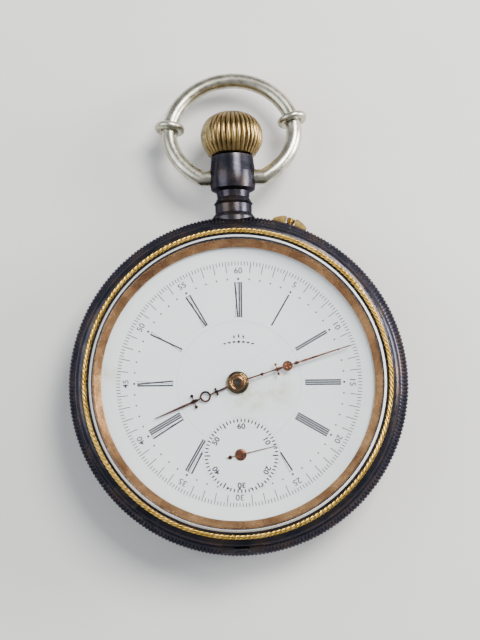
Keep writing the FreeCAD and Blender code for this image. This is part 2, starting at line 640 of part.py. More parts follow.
def make_barrel():
    """Ratchet wheel and arbor, barrel drum, lid and mainspring."""
    crown_line = bearing(BARREL, CROWN_WHEEL)
    low, high = RATCHET_Z
    square, shaft = 0.5, 0.6
    ratchet = gear(RATCHET_TEETH, RATCHET_MODULE, low, high, crown_line).cut(
        box((-square, -square, 0), (square, square, 20)))
    save(moved(ratchet, BARREL), "ratchet_wheel")
    post = joined([arbor([(0.9, 2.75, low), (shaft, high, 7.5), (1.9, 5.1, 6.3)]),
                   box((-square, -square, low), (square, square, high))])
    save(moved(post, BARREL), "barrel_arbor")
    teeth = gear(BARREL_TEETH, BARREL_MODULE, *BARREL_TEETH_Z, bearing(BARREL, CENTRE))
    drum = joined([teeth, cylinder(CENTRE, DRUM_RADIUS, *BARREL_Z)])
    drum = drum.cut([cylinder(CENTRE, DRUM_BORE, 4.6, BARREL_Z[1] - 0.25),
                     cylinder(CENTRE, shaft + RUNNING_GAP, 0, 20)])
    save(moved(drum, BARREL), "barrel_drum")
    lid = ring(CENTRE, DRUM_BORE, shaft + RUNNING_GAP, BARREL_Z[0], BARREL_Z[0] + 0.25)
    save(moved(lid, BARREL), "barrel_lid")
    save(moved(spiral(2.3, 7.9, 9, 0.2, 5.1, 6.25), BARREL), "mainspring")
    crown_wheel = gear(CROWN_WHEEL_TEETH, RATCHET_MODULE, low, high,
                       crown_line + 180 + 180 / CROWN_WHEEL_TEETH)
    crown_wheel = crown_wheel.cut(cylinder(CENTRE, 0.6 + RUNNING_GAP, 0, 20))
    save(moved(crown_wheel, CROWN_WHEEL), "crown_wheel")
    tooth_gap = crown_line - 10.5 * 360 / RATCHET_TEETH
    tip = polar(RATCHET_MODULE * (RATCHET_TEETH / 2 + 1) + 0.18, tooth_gap, BARREL)
    click = capsule(CLICK_PIVOT, 0.85, tip, 0.12, 4.02, 4.4)
    save(click.cut(cylinder(CLICK_PIVOT, CLICK_POST + RUNNING_GAP, 0, 20)), "click")


def wheel_on_arbor(name, point, teeth, module, wheel_z, arms, tooth_angle, pinion,
                   pinion_angle, spans):
    """Save a train wheel and its pinion; the wheel is pressed on the arbor."""
    pinion_teeth, pinion_module, pinion_z = pinion
    post = arbor(spans)
    hub = 0.55 + module * 3
    pinion_shape = gear(pinion_teeth, pinion_module, *pinion_z, pinion_angle)
    staff = joined([post, pinion_shape])
    wheel = gear(teeth, module, *wheel_z, tooth_angle)
    wheel = crossed(wheel, module * teeth / 2 - module * 4, hub + 0.2, arms, 0.45, *wheel_z)
    save(moved(wheel.cut(staff), point), name + "_wheel")
    save(moved(staff, point), name + "_pinion")


def meshing(start, end, teeth):
    """Tooth angle on a gear at end that meshes with a tooth of start's gear."""
    return bearing(end, start) + 180 / teeth


def make_train():
    """Centre, third, fourth and escape wheels with their pinions."""
    wheel_on_arbor(
        "centre", CENTRE, CENTRE_TEETH, CENTRE_MODULE, CENTRE_WHEEL_Z, 5,
        bearing(CENTRE, THIRD),
        (CENTRE_PINION_TEETH, BARREL_MODULE, CENTRE_PINION_Z),
        meshing(BARREL, CENTRE, CENTRE_PINION_TEETH),
        [(ARBOR_RADIUS, 2.8, 4.1), (0.45, 4.0, 5.1), (0.4, 6.6, 8.3), (0.34, 8.3, 11.0)])
    wheel_on_arbor(
        "third", THIRD, THIRD_TEETH, THIRD_MODULE, THIRD_WHEEL_Z, 4,
        bearing(THIRD, FOURTH),
        (THIRD_PINION_TEETH, CENTRE_MODULE, THIRD_PINION_Z),
        meshing(CENTRE, THIRD, THIRD_PINION_TEETH),
        [(PIVOT_RADIUS, 3.45, 7.3), (ARBOR_RADIUS, 3.95, 6.8)])
    wheel_on_arbor(
        "fourth", FOURTH, FOURTH_TEETH, FOURTH_MODULE, FOURTH_WHEEL_Z, 4,
        bearing(FOURTH, ESCAPE),
        (FOURTH_PINION_TEETH, THIRD_MODULE, FOURTH_PINION_Z),
        meshing(THIRD, FOURTH, FOURTH_PINION_TEETH),
        [(PIVOT_RADIUS, 3.45, 4.0), (ARBOR_RADIUS, 3.95, 6.8), (SECONDS_ARBOR, 6.7, 8.4),
         (SECONDS_POST, 8.3, SECONDS_HAND_Z[1])])
    staff = joined([arbor([(PIVOT_RADIUS, 3.45, 7.3), (0.15, 3.95, 6.85)]),
                    gear(ESCAPE_PINION_TEETH, FOURTH_MODULE, *ESCAPE_PINION_Z,
                         meshing(FOURTH, ESCAPE, ESCAPE_PINION_TEETH))])
    step = 360 / ESCAPE_TEETH
    outline = []
    for tooth in range(ESCAPE_TEETH):
        angle = tooth * step + ESCAPEMENT_LINE - 24
        outline += [polar(1.95, angle - 9), polar(2.1, angle - 4), polar(ESCAPE_RADIUS, angle - 1.5),
                    polar(ESCAPE_RADIUS - 0.06, angle + 1.5), polar(2.1, angle + 0.5),
                    polar(1.95, angle + 2)]
    wheel = crossed(prism(outline, *ESCAPE_WHEEL_Z), 1.65, 0.6, 4, 0.3, *ESCAPE_WHEEL_Z)
    save(moved(wheel.cut(staff), ESCAPE), "escape_wheel")
    save(moved(staff, ESCAPE), "escape_pinion")


def make_escapement():
    """Pallet fork with its stones, and the balance with its staff and spring."""
    low, high = ESCAPE_WHEEL_Z
    back = ESCAPEMENT_LINE + 180
    arms = [polar(2.95, back + 180 + side * 30, ESCAPE) for side in (-1, 1)]
    fork_end = polar(2.55, ESCAPEMENT_LINE, PALLET)
    fork = joined([capsule(PALLET, 0.42, fork_end, 0.24, low, high)]
                  + [capsule(PALLET, 0.42, arm, 0.28, low, high) for arm in arms])
    horn = cylinder(polar(2.75, ESCAPEMENT_LINE, PALLET), 0.42, low, high)
    slot = box((2.55, -0.14, low - 1), (3.6, 0.14, high + 1))
    slot = moved(spun(slot, ESCAPEMENT_LINE), PALLET)
    fork = joined([fork, horn]).cut(slot)
    stones = []
    for side in (-1, 1):
        stone = box((ESCAPE_RADIUS - 0.04, -PALLET_STONE_WIDTH / 2, low - 0.05),
                    (ESCAPE_RADIUS + 0.45, PALLET_STONE_WIDTH / 2, high + 0.05))
        stones.append(moved(spun(stone, back + 180 + side * 30), ESCAPE))
    staff = arbor([(PIVOT_RADIUS, 4.65, 7.3), (0.16, 4.95, 6.85)])
    fork = joined([fork, moved(staff, PALLET)]).cut(stones)
    keep_off = cylinder(ESCAPE, ESCAPE_RADIUS + FORK_CLEARANCE, low - 1, high + 1)
    save(fork.cut(keep_off), "pallet_fork")
    save(Part.makeCompound(stones), "pallet_stones")

    low, high = BALANCE_Z
    rim = ring(CENTRE, 6.1, 5.55, low, high)
    arm = box((-5.7, -0.35, low + 0.1), (5.7, 0.35, high - 0.1))
    hub = cylinder(CENTRE, 0.9, low + 0.1, high - 0.1)
    screws = [spun(Part.makeCylinder(0.2, 0.75, Vector(5.7, 0, (low + high) / 2), Vector(1, 0, 0)),
                   angle) for angle in range(15, 360, 30)]
    staff = arbor([(PIVOT_RADIUS, 2.85, 7.3), (0.3, 3.35, 6.85)])
    balance = joined([rim, arm, hub] + screws).cut(staff)
    turn = ESCAPEMENT_LINE + 90
    save(moved(spun(balance, turn), BALANCE), "balance_wheel")
    save(moved(staff, BALANCE), "balance_staff")
    roller = ring(CENTRE, 1.25, 0.3, *ROLLER_Z)
    impulse_pin = cylinder(polar(1.02, ESCAPEMENT_LINE + 180), 0.1, ROLLER_Z[1],
                           ESCAPE_WHEEL_Z[0] - 0.05)
    save(moved(joined([roller, impulse_pin]), BALANCE), "impulse_roller")
    save(moved(spiral(0.5, 3.0, 11, 0.04, *HAIRSPRING_Z), BALANCE), "hairspring")
    stud_place = polar(3.3, bearing(BALANCE, COCK_FOOT), BALANCE)
    save(joined([cylinder(stud_place, 0.25, 3.45, 3.85), cylinder(stud_place, 0.35, 3.3, 3.45)]),
         "hairspring_stud")

    pointer_tip = polar(4.6, bearing(BALANCE, COCK_FOOT), BALANCE)
    pointer = capsule(BALANCE, 1.5, pointer_tip, 0.15, *REGULATOR_Z)
    pointer = pointer.cut(cylinder(BALANCE, BALANCE_HUB + RUNNING_GAP, 0, 10))
    save(pointer, "regulator")


def make_motion_work():
    """Cannon pinion, minute wheel, hour wheel and setting wheel."""
    cannon = joined([gear(CANNON_TEETH, CANNON_MODULE, *CANNON_Z,
                          meshing(MINUTE, CENTRE, CANNON_TEETH)),
                     cylinder(CENTRE, CANNON_RADIUS, CANNON_Z[0], MINUTE_HAND_Z[1] + 0.22)])
    save(cannon.cut(cylinder(CENTRE, 0.345, 8, 12)), "cannon_pinion")
    post_hole = cylinder(CENTRE, POST_RADIUS + RUNNING_GAP, 8, 10)
    low, high = MINUTE_WHEEL_Z
    minute = joined([gear(MINUTE_TEETH, CANNON_MODULE, low, high, bearing(MINUTE, CENTRE)),
                     gear(MINUTE_PINION_TEETH, HOUR_MODULE, high, HOUR_WHEEL_Z[1] + 0.02,
                          meshing(CENTRE, MINUTE, MINUTE_PINION_TEETH))])
    save(moved(minute.cut(post_hole), MINUTE), "minute_wheel")
    hour = joined([gear(HOUR_TEETH, HOUR_MODULE, *HOUR_WHEEL_Z, bearing(CENTRE, MINUTE)),
                   cylinder(CENTRE, HOUR_PIPE, HOUR_WHEEL_Z[0], HOUR_HAND_Z[1] + 0.08)])
    save(hour.cut(cylinder(CENTRE, CANNON_RADIUS + RUNNING_GAP, 8, 12)), "hour_wheel")
    setting = gear(SETTING_TEETH, CANNON_MODULE, low, high,
                   meshing(MINUTE, SETTING, SETTING_TEETH)).cut(post_hole)
    save(moved(setting, SETTING), "setting_wheel")


def hand_direction(clock_angle):
    """Angle in the frame of a hand at an angle clockwise from the dial's twelve."""
    return 90 + DIAL_TWIST - clock_angle


def make_dial_and_hands():
    """Dial and the three hands."""
    low, high = DIAL_Z
    dial = cylinder(CENTRE, DIAL_RADIUS, low, high).cut([
        cylinder(CENTRE, DIAL_HOLE, 0, 20), cylinder(FOURTH, 0.3, 0, 20)])
    save(dial, "dial")

    low, high = HOUR_HAND_Z
    hour = joined([ring(CENTRE, 1.65, HOUR_PIPE, low - 0.04, high + 0.08),
                   prism([(1.5, -0.3), (4.4, -0.16), (4.4, 0.16), (1.5, 0.3)], low, high),
                   box((3.2, -0.45, low), (3.45, 0.45, high)),
                   ring((5.1, 0), 0.82, 0.55, low, high),
                   box((5.8, -0.17, low), (7.5, 0.17, high)),
                   box((6.75, -0.95, low), (7.05, 0.95, high)),
                   prism([(7.3, -0.42), (HOUR_HAND_LENGTH, -0.05),
                          (HOUR_HAND_LENGTH, 0.05), (7.3, 0.42)], low, high)])
    save(spun(hour, hand_direction(HOUR_HAND_ANGLE)), "hour_hand")

    low, high = MINUTE_HAND_Z
    minute = joined([ring(CENTRE, 1.12, CANNON_RADIUS, low - 0.04, high + 0.1),
                     prism([(1.0, -0.24), (7.0, -0.12), (7.0, 0.12), (1.0, 0.24)], low, high),
                     box((5.85, -0.75, low), (6.15, 0.75, high)),
                     cylinder((7.6, 0), 0.72, low, high),
                     prism([(8.2, -0.12), (9.0, -0.42), (10.2, -0.2), (MINUTE_HAND_LENGTH, -0.04),
                            (MINUTE_HAND_LENGTH, 0.04), (10.2, 0.2), (9.0, 0.42), (8.2, 0.12)],
                           low, high)])
    save(spun(minute, hand_direction(MINUTE_HAND_ANGLE)), "minute_hand")

    low, high = SECONDS_HAND_Z
    seconds = joined([cylinder(CENTRE, 0.85, low, high),
                      prism([(-2.1, -0.09), (SECONDS_HAND_LENGTH, -0.04),
                             (SECONDS_HAND_LENGTH, 0.04), (-2.1, 0.09)], low, high),
                      cylinder((-1.6, 0), 0.3, low, high)])
    seconds = seconds.cut(cylinder(CENTRE, SECONDS_POST, 0, 20))
    save(moved(spun(seconds, hand_direction(SECONDS_HAND_ANGLE)), FOURTH), "seconds_hand")


os.makedirs("parts", exist_ok=True)
make_case()
make_bezel()
make_covers()
make_bow()
make_winding()
make_set_pin()
make_plates()
make_jewels_and_screws()
make_barrel()
make_train()
make_escapement()
make_motion_work()
make_dial_and_hands()
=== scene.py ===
"""Looks of the open face pocket watch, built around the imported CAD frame.

Local sizes are in millimetres and are scaled by MM when a mesh is made, because
Blender and the frame work in metres.
"""

import json
import math

import bmesh
import bpy
import numpy as np
from mathutils import Matrix, Vector


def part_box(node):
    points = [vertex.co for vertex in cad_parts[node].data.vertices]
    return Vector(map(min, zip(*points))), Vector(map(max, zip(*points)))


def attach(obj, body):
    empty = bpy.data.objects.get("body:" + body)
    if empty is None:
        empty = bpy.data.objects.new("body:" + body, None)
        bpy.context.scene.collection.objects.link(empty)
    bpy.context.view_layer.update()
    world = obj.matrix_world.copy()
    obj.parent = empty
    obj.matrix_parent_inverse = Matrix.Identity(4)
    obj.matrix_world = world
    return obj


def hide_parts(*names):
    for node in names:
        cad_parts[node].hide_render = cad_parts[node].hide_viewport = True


MM = 0.001

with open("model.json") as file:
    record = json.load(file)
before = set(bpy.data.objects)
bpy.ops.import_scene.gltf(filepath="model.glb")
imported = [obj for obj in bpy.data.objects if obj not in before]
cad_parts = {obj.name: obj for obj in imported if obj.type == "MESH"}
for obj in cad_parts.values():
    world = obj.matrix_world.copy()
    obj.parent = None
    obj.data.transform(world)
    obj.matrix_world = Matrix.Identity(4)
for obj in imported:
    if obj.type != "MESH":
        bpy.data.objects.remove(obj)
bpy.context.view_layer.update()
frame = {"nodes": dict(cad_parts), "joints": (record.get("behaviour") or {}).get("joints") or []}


# ---- places taken from the frame ---------------------------------------------

def corners(node):
    """A CAD node's lowest and highest corners, in millimetres."""
    low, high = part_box(node)
    return Vector(low) / MM, Vector(high) / MM


def joint(name):
    """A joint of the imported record."""
    return next(j for j in frame["joints"] if j["name"] == name)


DIAL_TOP = corners("dial")[1].z
SECONDS_AT = Vector(joint("seconds_turn")["pos_m"]) / MM
DIAL_TURN = -1.1                         # how far the dial sits turned, degrees
PRINT_AT = (0.18, -0.05)                 # middle of the printed rings, a little off the arbor
SECONDS_PRINT_AT = (0.25, -10.56)        # middle of the printed seconds track
BOW_PIVOT = Vector(joint("bow_swing")["pos_m"]) / MM
STEM_Z = BOW_PIVOT.z


# ---- mesh helpers --------------------------------------------------------------

def polar(radius, angle):
    """Point on a circle, from an angle in degrees."""
    turn = math.radians(angle)
    return radius * math.cos(turn), radius * math.sin(turn)


def new_object(name, points, faces, smooth=True):
    """Mesh object from millimetre points."""
    mesh = bpy.data.meshes.new(name)
    mesh.from_pydata([(x * MM, y * MM, z * MM) for x, y, z in points], [], faces)
    mesh.validate()
    mesh.update()
    work = bmesh.new()
    work.from_mesh(mesh)
    bmesh.ops.recalc_face_normals(work, faces=work.faces)
    work.to_mesh(mesh)
    work.free()
    obj = bpy.data.objects.new(name, mesh)
    bpy.context.scene.collection.objects.link(obj)
    for polygon in mesh.polygons:
        polygon.use_smooth = smooth
    return obj


def grid_faces(rows, columns, wrap_rows, wrap_columns):
    """Quads over a grid of points, row by row."""
    faces = []
    for i in range(rows if wrap_rows else rows - 1):
        for j in range(columns if wrap_columns else columns - 1):
            a = i * columns + j
            b = i * columns + (j + 1) % columns
            c = (i + 1) % rows * columns + (j + 1) % columns
            d = (i + 1) % rows * columns + j
            faces.append((a, b, c, d))
    return faces


def lathe(profile, steps=360, closed=True, shape=None):
    """Points and faces of a profile of (radius, z) turned about Z.

    shape, if given, changes a radius: shape(angle, radius, z, index).
    """
    points = []
    for step in range(steps):
        angle = 2 * math.pi * step / steps
        for index, (radius, z) in enumerate(profile):
            r = shape(angle, radius, z, index) if shape else radius
            points.append((r * math.cos(angle), r * math.sin(angle), z))
    return points, grid_faces(steps, len(profile), True, closed)


def arc_points(start, middle, end, count):
    """Points on the arc through three (x, y) points, without the first one."""
    (ax, ay), (bx, by), (cx, cy) = start, middle, end
    d = 2 * (ax * (by - cy) + bx * (cy - ay) + cx * (ay - by))
    sa, sb, sc = ax * ax + ay * ay, bx * bx + by * by, cx * cx + cy * cy
    ux = (sa * (by - cy) + sb * (cy - ay) + sc * (ay - by)) / d
    uy = (sa * (cx - bx) + sb * (ax - cx) + sc * (bx - ax)) / d
    first = math.atan2(ay - uy, ax - ux)
    last = math.atan2(cy - uy, cx - ux)
    halfway = math.atan2(by - uy, bx - ux)
    turn = (last - first) % (2 * math.pi)
    if (halfway - first) % (2 * math.pi) > turn:
        turn -= 2 * math.pi
    radius = math.hypot(ax - ux, ay - uy)
    return [(ux + radius * math.cos(first + turn * k / count),
             uy + radius * math.sin(first + turn * k / count)) for k in range(1, count + 1)]


def prism(outline, low, high):
    """Points and faces of an upright prism over a closed outline."""
    count = len(outline)
    points = [(x, y, low) for x, y in outline] + [(x, y, high) for x, y in outline]
    faces = [tuple(range(count)), tuple(range(2 * count - 1, count - 1, -1))]
    for k in range(count):
        n = (k + 1) % count
        faces.append((k, n, count + n, count + k))
    return points, faces


def bar(start, end, width, low, high, end_width=None):
    """Prism along a line, tapered if an end width is given."""
    a, b = Vector(start), Vector(end)
    side = Vector((a.y - b.y, b.x - a.x)).normalized()
    w0, w1 = width / 2, (end_width if end_width is not None else width) / 2
    outline = [a + side * w0, a - side * w0, b - side * w1, b + side * w1]
    return prism([tuple(p) for p in outline], low, high)


def disc(centre, radius, low, high, sides=32):
    """Upright short cylinder."""
    rim = (polar(radius, 360 * k / sides) for k in range(sides))
    return prism([(centre[0] + x, centre[1] + y) for x, y in rim], low, high)


def hoop(centre, outer, inner, low, high, sides=48):
    """Upright ring of square section."""
    profile = [(inner, low), (outer, low), (outer, high), (inner, high)]
    points, faces = lathe(profile, sides)
    return [(x + centre[0], y + centre[1], z) for x, y, z in points], faces


def dome(centre, radius, low, high, sides=24, rows=6):
    """Half of a flattened ball standing on a plane."""
    profile = [(radius * math.cos(math.pi / 2 * k / rows), low + (high - low) *
                math.sin(math.pi / 2 * k / rows)) for k in range(rows)]
    points, faces = lathe(profile, sides, closed=False)
    points = [(x + centre[0], y + centre[1], z) for x, y, z in points]
    count = len(profile)
    faces.append(tuple(k * count + count - 1 for k in range(sides)))
    faces.append(tuple(k * count for k in range(sides - 1, -1, -1)))
    return points, faces


def gather(parts):
    """One list of points and faces out of several."""
    points, faces = [], []
    for part_points, part_faces in parts:
        base = len(points)
        points += part_points
        faces += [tuple(base + v for v in face) for face in part_faces]
    return points, faces


def turned_parts(parts, angle, centre=(0.0, 0.0)):
    """Parts turned about Z by degrees and then moved to a place."""
    points, faces = gather(parts)
    c, s = math.cos(math.radians(angle)), math.sin(math.radians(angle))
    return [(x * c - y * s + centre[0], x * s + y * c + centre[1], z)
            for x, y, z in points], faces


def bevelled(obj, width, segments=2, angle=35):
    """Rounded edges by a bevel modifier, width in millimetres."""
    modifier = obj.modifiers.new("edge", "BEVEL")
    modifier.width = width * MM
    modifier.segments = segments
    modifier.limit_method = "ANGLE"
    modifier.angle_limit = math.radians(angle)
    return obj


def flat_shaded(obj, angle=35):
    """Smooth shading that keeps edges sharper than an angle."""
    obj.data.shade_smooth()
    bpy.context.view_layer.objects.active = obj
    obj.select_set(True)
    bpy.ops.object.shade_smooth_by_angle(angle=math.radians(angle))
    obj.select_set(False)
    return obj


def put(obj, body, material, replaces=()):
    """Give a piece its material and body, and hide the CAD nodes it stands for."""
    obj.data.materials.clear()
    obj.data.materials.append(material)
    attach(obj, body)
    if replaces:
        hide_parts(*replaces)
    return obj


# ---- materials ------------------------------------------------------------------

RIBS = 36                # round the crown
STAINS = ((1.3, -2.3, 2.4), (5.8, -1.6, 1.9), (-19.2, 1.8, 1.0))   # x, y and radius on the dial
CRACK_CELL = 7.0         # size of the enamel's cracked cells
CRACK_WOBBLE = 1.2       # how far the cracks stray


class Surface:
    """A Principled material under construction."""

    def __init__(self, name, metallic=0.0, roughness=0.4):
        self.material = bpy.data.materials.new(name)
        self.material.use_nodes = True
        self.nodes = self.material.node_tree.nodes
        self.links = self.material.node_tree.links
        self.shader = self.nodes["Principled BSDF"]
        self.shader.inputs["Metallic"].default_value = metallic
        self.shader.inputs["Roughness"].default_value = roughness
        self.place = self.nodes.new("ShaderNodeTexCoord").outputs["Object"]

    def noise(self, size, detail=4.0, roughness=0.55, stretch=None):
        """Noise with features of a size in millimetres."""
        node = self.nodes.new("ShaderNodeTexNoise")
        node.inputs["Scale"].default_value = 1 / (size * MM)
        node.inputs["Detail"].default_value = detail
        node.inputs["Roughness"].default_value = roughness
        source = self.place
        if stretch:
            mapping = self.nodes.new("ShaderNodeMapping")
            mapping.inputs["Scale"].default_value = stretch
            self.links.new(self.place, mapping.inputs["Vector"])
            source = mapping.outputs["Vector"]
        self.links.new(source, node.inputs["Vector"])
        return node.outputs["Fac"]

    def ramp(self, value, stops):
        """Colour ramp from (position, colour) stops."""
        node = self.nodes.new("ShaderNodeValToRGB")
        elements = node.color_ramp.elements
        while len(elements) < len(stops):
            elements.new(0.5)
        for element, (position, colour) in zip(elements, stops):
            element.position = position
            element.color = (*colour, 1.0)
        self.links.new(value, node.inputs["Fac"])
        return node.outputs["Color"]

    def mix(self, share, first, second):
        """Mix of two colours, given as sockets or as values."""
        node = self.nodes.new("ShaderNodeMix")
        node.data_type = "RGBA"
        for socket, value in ((node.inputs[0], share), (node.inputs[6], first),
                              (node.inputs[7], second)):
            if isinstance(value, bpy.types.NodeSocket):
                self.links.new(value, socket)
            else:
                socket.default_value = value if isinstance(value, float) else (*value, 1.0)
        return node.outputs[2]

    def spread(self, value, low, high, start=0.3, end=0.7):
        """A value mapped onto a range."""
        node = self.nodes.new("ShaderNodeMapRange")
        node.inputs["From Min"].default_value = start
        node.inputs["From Max"].default_value = end
        node.inputs["To Min"].default_value = low
        node.inputs["To Max"].default_value = high
        self.links.new(value, node.inputs["Value"])
        return node.outputs["Result"]

    def near(self, spot, radius, softness):
        """1 at a spot, falling to 0 at a radius; millimetres."""
        distance = self.nodes.new("ShaderNodeVectorMath")
        distance.operation = "DISTANCE"
        distance.inputs[1].default_value = Vector(spot) * MM
        self.links.new(self.place, distance.inputs[0])
        return self.spread(distance.outputs["Value"], 1.0, 0.0,
                           (radius - softness) * MM, (radius + softness) * MM)

    def math(self, operation, *values):
        """One Math node; values are sockets or numbers."""
        node = self.nodes.new("ShaderNodeMath")
        node.operation = operation
        for socket, value in zip(node.inputs, values):
            if isinstance(value, bpy.types.NodeSocket):
                self.links.new(value, socket)
            else:
                socket.default_value = value
        return node.outputs["Value"]

    def ribs(self, count, height):
        """1 on ribs round a Y axis at a height in millimetres, 0 between them."""
        split = self.nodes.new("ShaderNodeSeparateXYZ")
        self.links.new(self.place, split.inputs[0])
        up = self.math("SUBTRACT", height * MM, split.outputs["Z"])
        angle = self.math("ARCTAN2", up, split.outputs["X"])
        return self.math("ABSOLUTE", self.math("SINE", self.math("MULTIPLY", angle, count / 2)))

    def pointiness(self, low, high):
        """0 to 1 between two values of how convex the surface is."""
        geometry = self.nodes.new("ShaderNodeNewGeometry")
        return self.spread(geometry.outputs["Pointiness"], 0.0, 1.0, low, high)

    def colour(self, socket):
        """Link the base colour."""
        self.links.new(socket, self.shader.inputs["Base Color"])

    def rough(self, socket):
        """Link the roughness."""
        self.links.new(socket, self.shader.inputs["Roughness"])

    def bump(self, height, strength, depth):
        """Bump from a height socket; depth in millimetres."""
        node = self.nodes.new("ShaderNodeBump")
        node.inputs["Strength"].default_value = strength
        node.inputs["Distance"].default_value = depth * MM
        self.links.new(height, node.inputs["Height"])
        self.links.new(node.outputs["Normal"], self.shader.inputs["Normal"])


def metal(name, colours, roughness, patch=2.0, grain=0.3, depth=0.002, groove=None):
    """Metal with blotches between two colours, uneven gloss and a fine grain.

    patch and grain are sizes in millimetres; groove is a painted shade colour laid into its
    hollows.
    """
    s = Surface(name, 1.0)
    dark, light = colours
    base = s.ramp(s.noise(patch, 5.0), [(0.35, dark), (0.65, light)])
    # painted shade: the more concave the surface, the more of the groove colour
    if groove:
        base = s.mix(s.pointiness(0.5, 0.44), base, groove)
    s.colour(base)
    s.rough(s.spread(s.noise(patch * 0.4, 6.0), *roughness))
    s.bump(s.noise(grain, 3.0), 0.5, depth)
    return s.material


def rope_brass():
    """Bright brass of the rope ring, with painted shade between the strands."""
    s = Surface("rope_brass", 1.0)
    base = s.ramp(s.noise(3.0, 5.0), [(0.35, (0.43, 0.26, 0.045)), (0.65, (0.8, 0.51, 0.12))])
    groove = s.nodes.new("ShaderNodeAttribute")
    groove.attribute_name = "groove"
    # painted shade: the deeper a point lies between the strands, the darker
    s.colour(s.mix(s.spread(groove.outputs["Fac"], 0.0, 1.0, 0.12, 0.48), base,
                   (0.07, 0.035, 0.008)))
    s.rough(s.spread(s.noise(1.2, 5.0), 0.22, 0.36))
    s.bump(s.noise(0.3, 3.0), 0.3, 0.001)
    return s.material


def ribbed_brass():
    """Brown brass of the crown, with painted shade in the grooves, painted highlights on the ribs,
    and a lighter rubbed patch that is partly worn brass and partly painted sheen.
    """
    s = Surface("crown_brass", 1.0)
    base = s.ramp(s.noise(1.6, 5.0), [(0.35, (0.17, 0.105, 0.035)), (0.65, (0.3, 0.2, 0.075))])
    rib = s.ribs(RIBS, STEM_Z)
    worn = s.near((-4.4, 38.0, STEM_Z + 1.1), 2.5, 0.8)
    groove = s.math("MULTIPLY", s.spread(rib, 1.0, 0.0, 0.0, 0.5),
                    s.math("SUBTRACT", 1.0, worn))
    # painted highlight: rib crests lighter
    base = s.mix(s.spread(rib, 0.0, 0.6, 0.8, 1.0), base, (0.46, 0.34, 0.16))
    # rubbed patch lighter: partly worn brass, partly painted sheen
    base = s.mix(s.math("MULTIPLY", worn, 0.8), base, (0.34, 0.28, 0.14))
    # painted shade: grooves between the ribs darker
    s.colour(s.mix(groove, base, (0.045, 0.027, 0.01)))
    s.rough(s.spread(s.noise(1.0, 5.0), 0.24, 0.36))
    s.bump(s.noise(0.4, 3.0), 0.3, 0.001)
    return s.material


def gunmetal():
    """Oxidised steel: nearly black, with brown bloom and grey rubbed places."""
    s = Surface("gunmetal", 0.85)
    bloom = s.ramp(s.noise(3.5, 6.0), [(0.3, (0.02, 0.022, 0.03)), (0.5, (0.035, 0.033, 0.042)),
                                       (0.68, (0.062, 0.046, 0.04))])
    rubbed = s.math("MULTIPLY", s.spread(s.noise(1.4, 6.0), 0.0, 0.4, 0.56, 0.74),
                    s.spread(s.noise(9.0, 2.0), 0.2, 1.0, 0.4, 0.6))
    base = s.mix(rubbed, bloom, (0.13, 0.115, 0.105))
    s.colour(s.mix(s.pointiness(0.55, 0.68), base, (0.075, 0.07, 0.072)))
    s.rough(s.spread(s.noise(1.0, 5.0), 0.2, 0.36))
    s.bump(s.noise(0.4, 4.0), 0.3, 0.004)
    s.shader.inputs["Specular Tint"].default_value = (0.35, 0.34, 0.38, 1.0)
    s.shader.inputs["Specular IOR Level"].default_value = 0.35
    return s.material


def enamel():
    """White fired enamel with faint stains and hairline cracks by the centre."""
    s = Surface("enamel", 0.0, 0.16)
    white = s.ramp(s.noise(7.0, 3.0), [(0.3, (0.87, 0.93, 0.95)), (0.7, (0.92, 0.96, 0.97))])
    stains = [s.near((x, y, DIAL_TOP), reach, 1.5) for x, y, reach in STAINS]
    spots = s.math("MAXIMUM", s.math("MAXIMUM", stains[0], stains[1]), stains[2])
    stain = s.math("MULTIPLY", spots, s.spread(s.noise(1.3, 5.0), 0.3, 0.8, 0.42, 0.62))
    base = s.mix(stain, white, (0.6, 0.62, 0.42))
    cells = s.nodes.new("ShaderNodeTexVoronoi")
    cells.feature = "DISTANCE_TO_EDGE"
    cells.inputs["Scale"].default_value = 1 / (CRACK_CELL * MM)
    warp = s.nodes.new("ShaderNodeVectorMath")
    warp.operation = "MULTIPLY_ADD"
    wobble = s.nodes.new("ShaderNodeTexNoise")
    wobble.inputs["Scale"].default_value = 1 / (2.5 * MM)
    s.links.new(s.place, wobble.inputs["Vector"])
    s.links.new(wobble.outputs["Color"], warp.inputs[0])
    warp.inputs[1].default_value = (CRACK_WOBBLE * MM,) * 3
    s.links.new(s.place, warp.inputs[2])
    s.links.new(warp.outputs["Vector"], cells.inputs["Vector"])
    crack = s.math("MULTIPLY", s.spread(cells.outputs["Distance"], 1.0, 0.0, 0.0, 0.006),
                   s.near((5.5, -0.5, DIAL_TOP), 6.5, 2.0))
    s.colour(s.mix(s.math("MULTIPLY", crack, 0.45), base, (0.4, 0.42, 0.4)))
    s.rough(s.spread(s.noise(2.0, 4.0), 0.1, 0.2))
    s.bump(s.noise(4.0, 2.0), 0.25, 0.01)
    s.shader.inputs["Coat Weight"].default_value = 0.5
    s.shader.inputs["Coat Roughness"].default_value = 0.05
    return s.material


def crystal_glass():
    """Clear pane: it mirrors a little, more so at a slant, and lets the rest through."""
    s = Surface("crystal_glass", 1.0, 0.03)
    s.colour(s.ramp(s.noise(5.0, 3.0), [(0.3, (0.86, 0.9, 0.93)), (0.7, (0.92, 0.96, 0.98))]))
    slant = s.nodes.new("ShaderNodeLayerWeight")
    mirror = s.spread(s.math("POWER", slant.outputs["Facing"], 5.0), 0.035, 0.9, 0.0, 1.0)
    s.links.new(mirror, s.shader.inputs["Alpha"])
    s.rough(s.spread(s.noise(3.0, 5.0), 0.02, 0.07))
    return s.material


def bevel_glass():
    """Edge of the crystal as a white ring, partly frosted ground glass and partly painted
    reflection.
    """
    s = Surface("bevel_glass", 0.0, 0.12)
    # painted reflection: near-opaque white stands in for the light the clear bevel reflects
    s.colour(s.ramp(s.noise(3.0, 4.0), [(0.3, (0.86, 0.87, 0.9)), (0.7, (0.97, 0.97, 0.98))]))
    s.shader.inputs["Alpha"].default_value = 0.9
    s.shader.inputs["IOR"].default_value = 1.5
    s.rough(s.spread(s.noise(1.5, 5.0), 0.08, 0.2))
    return s.material


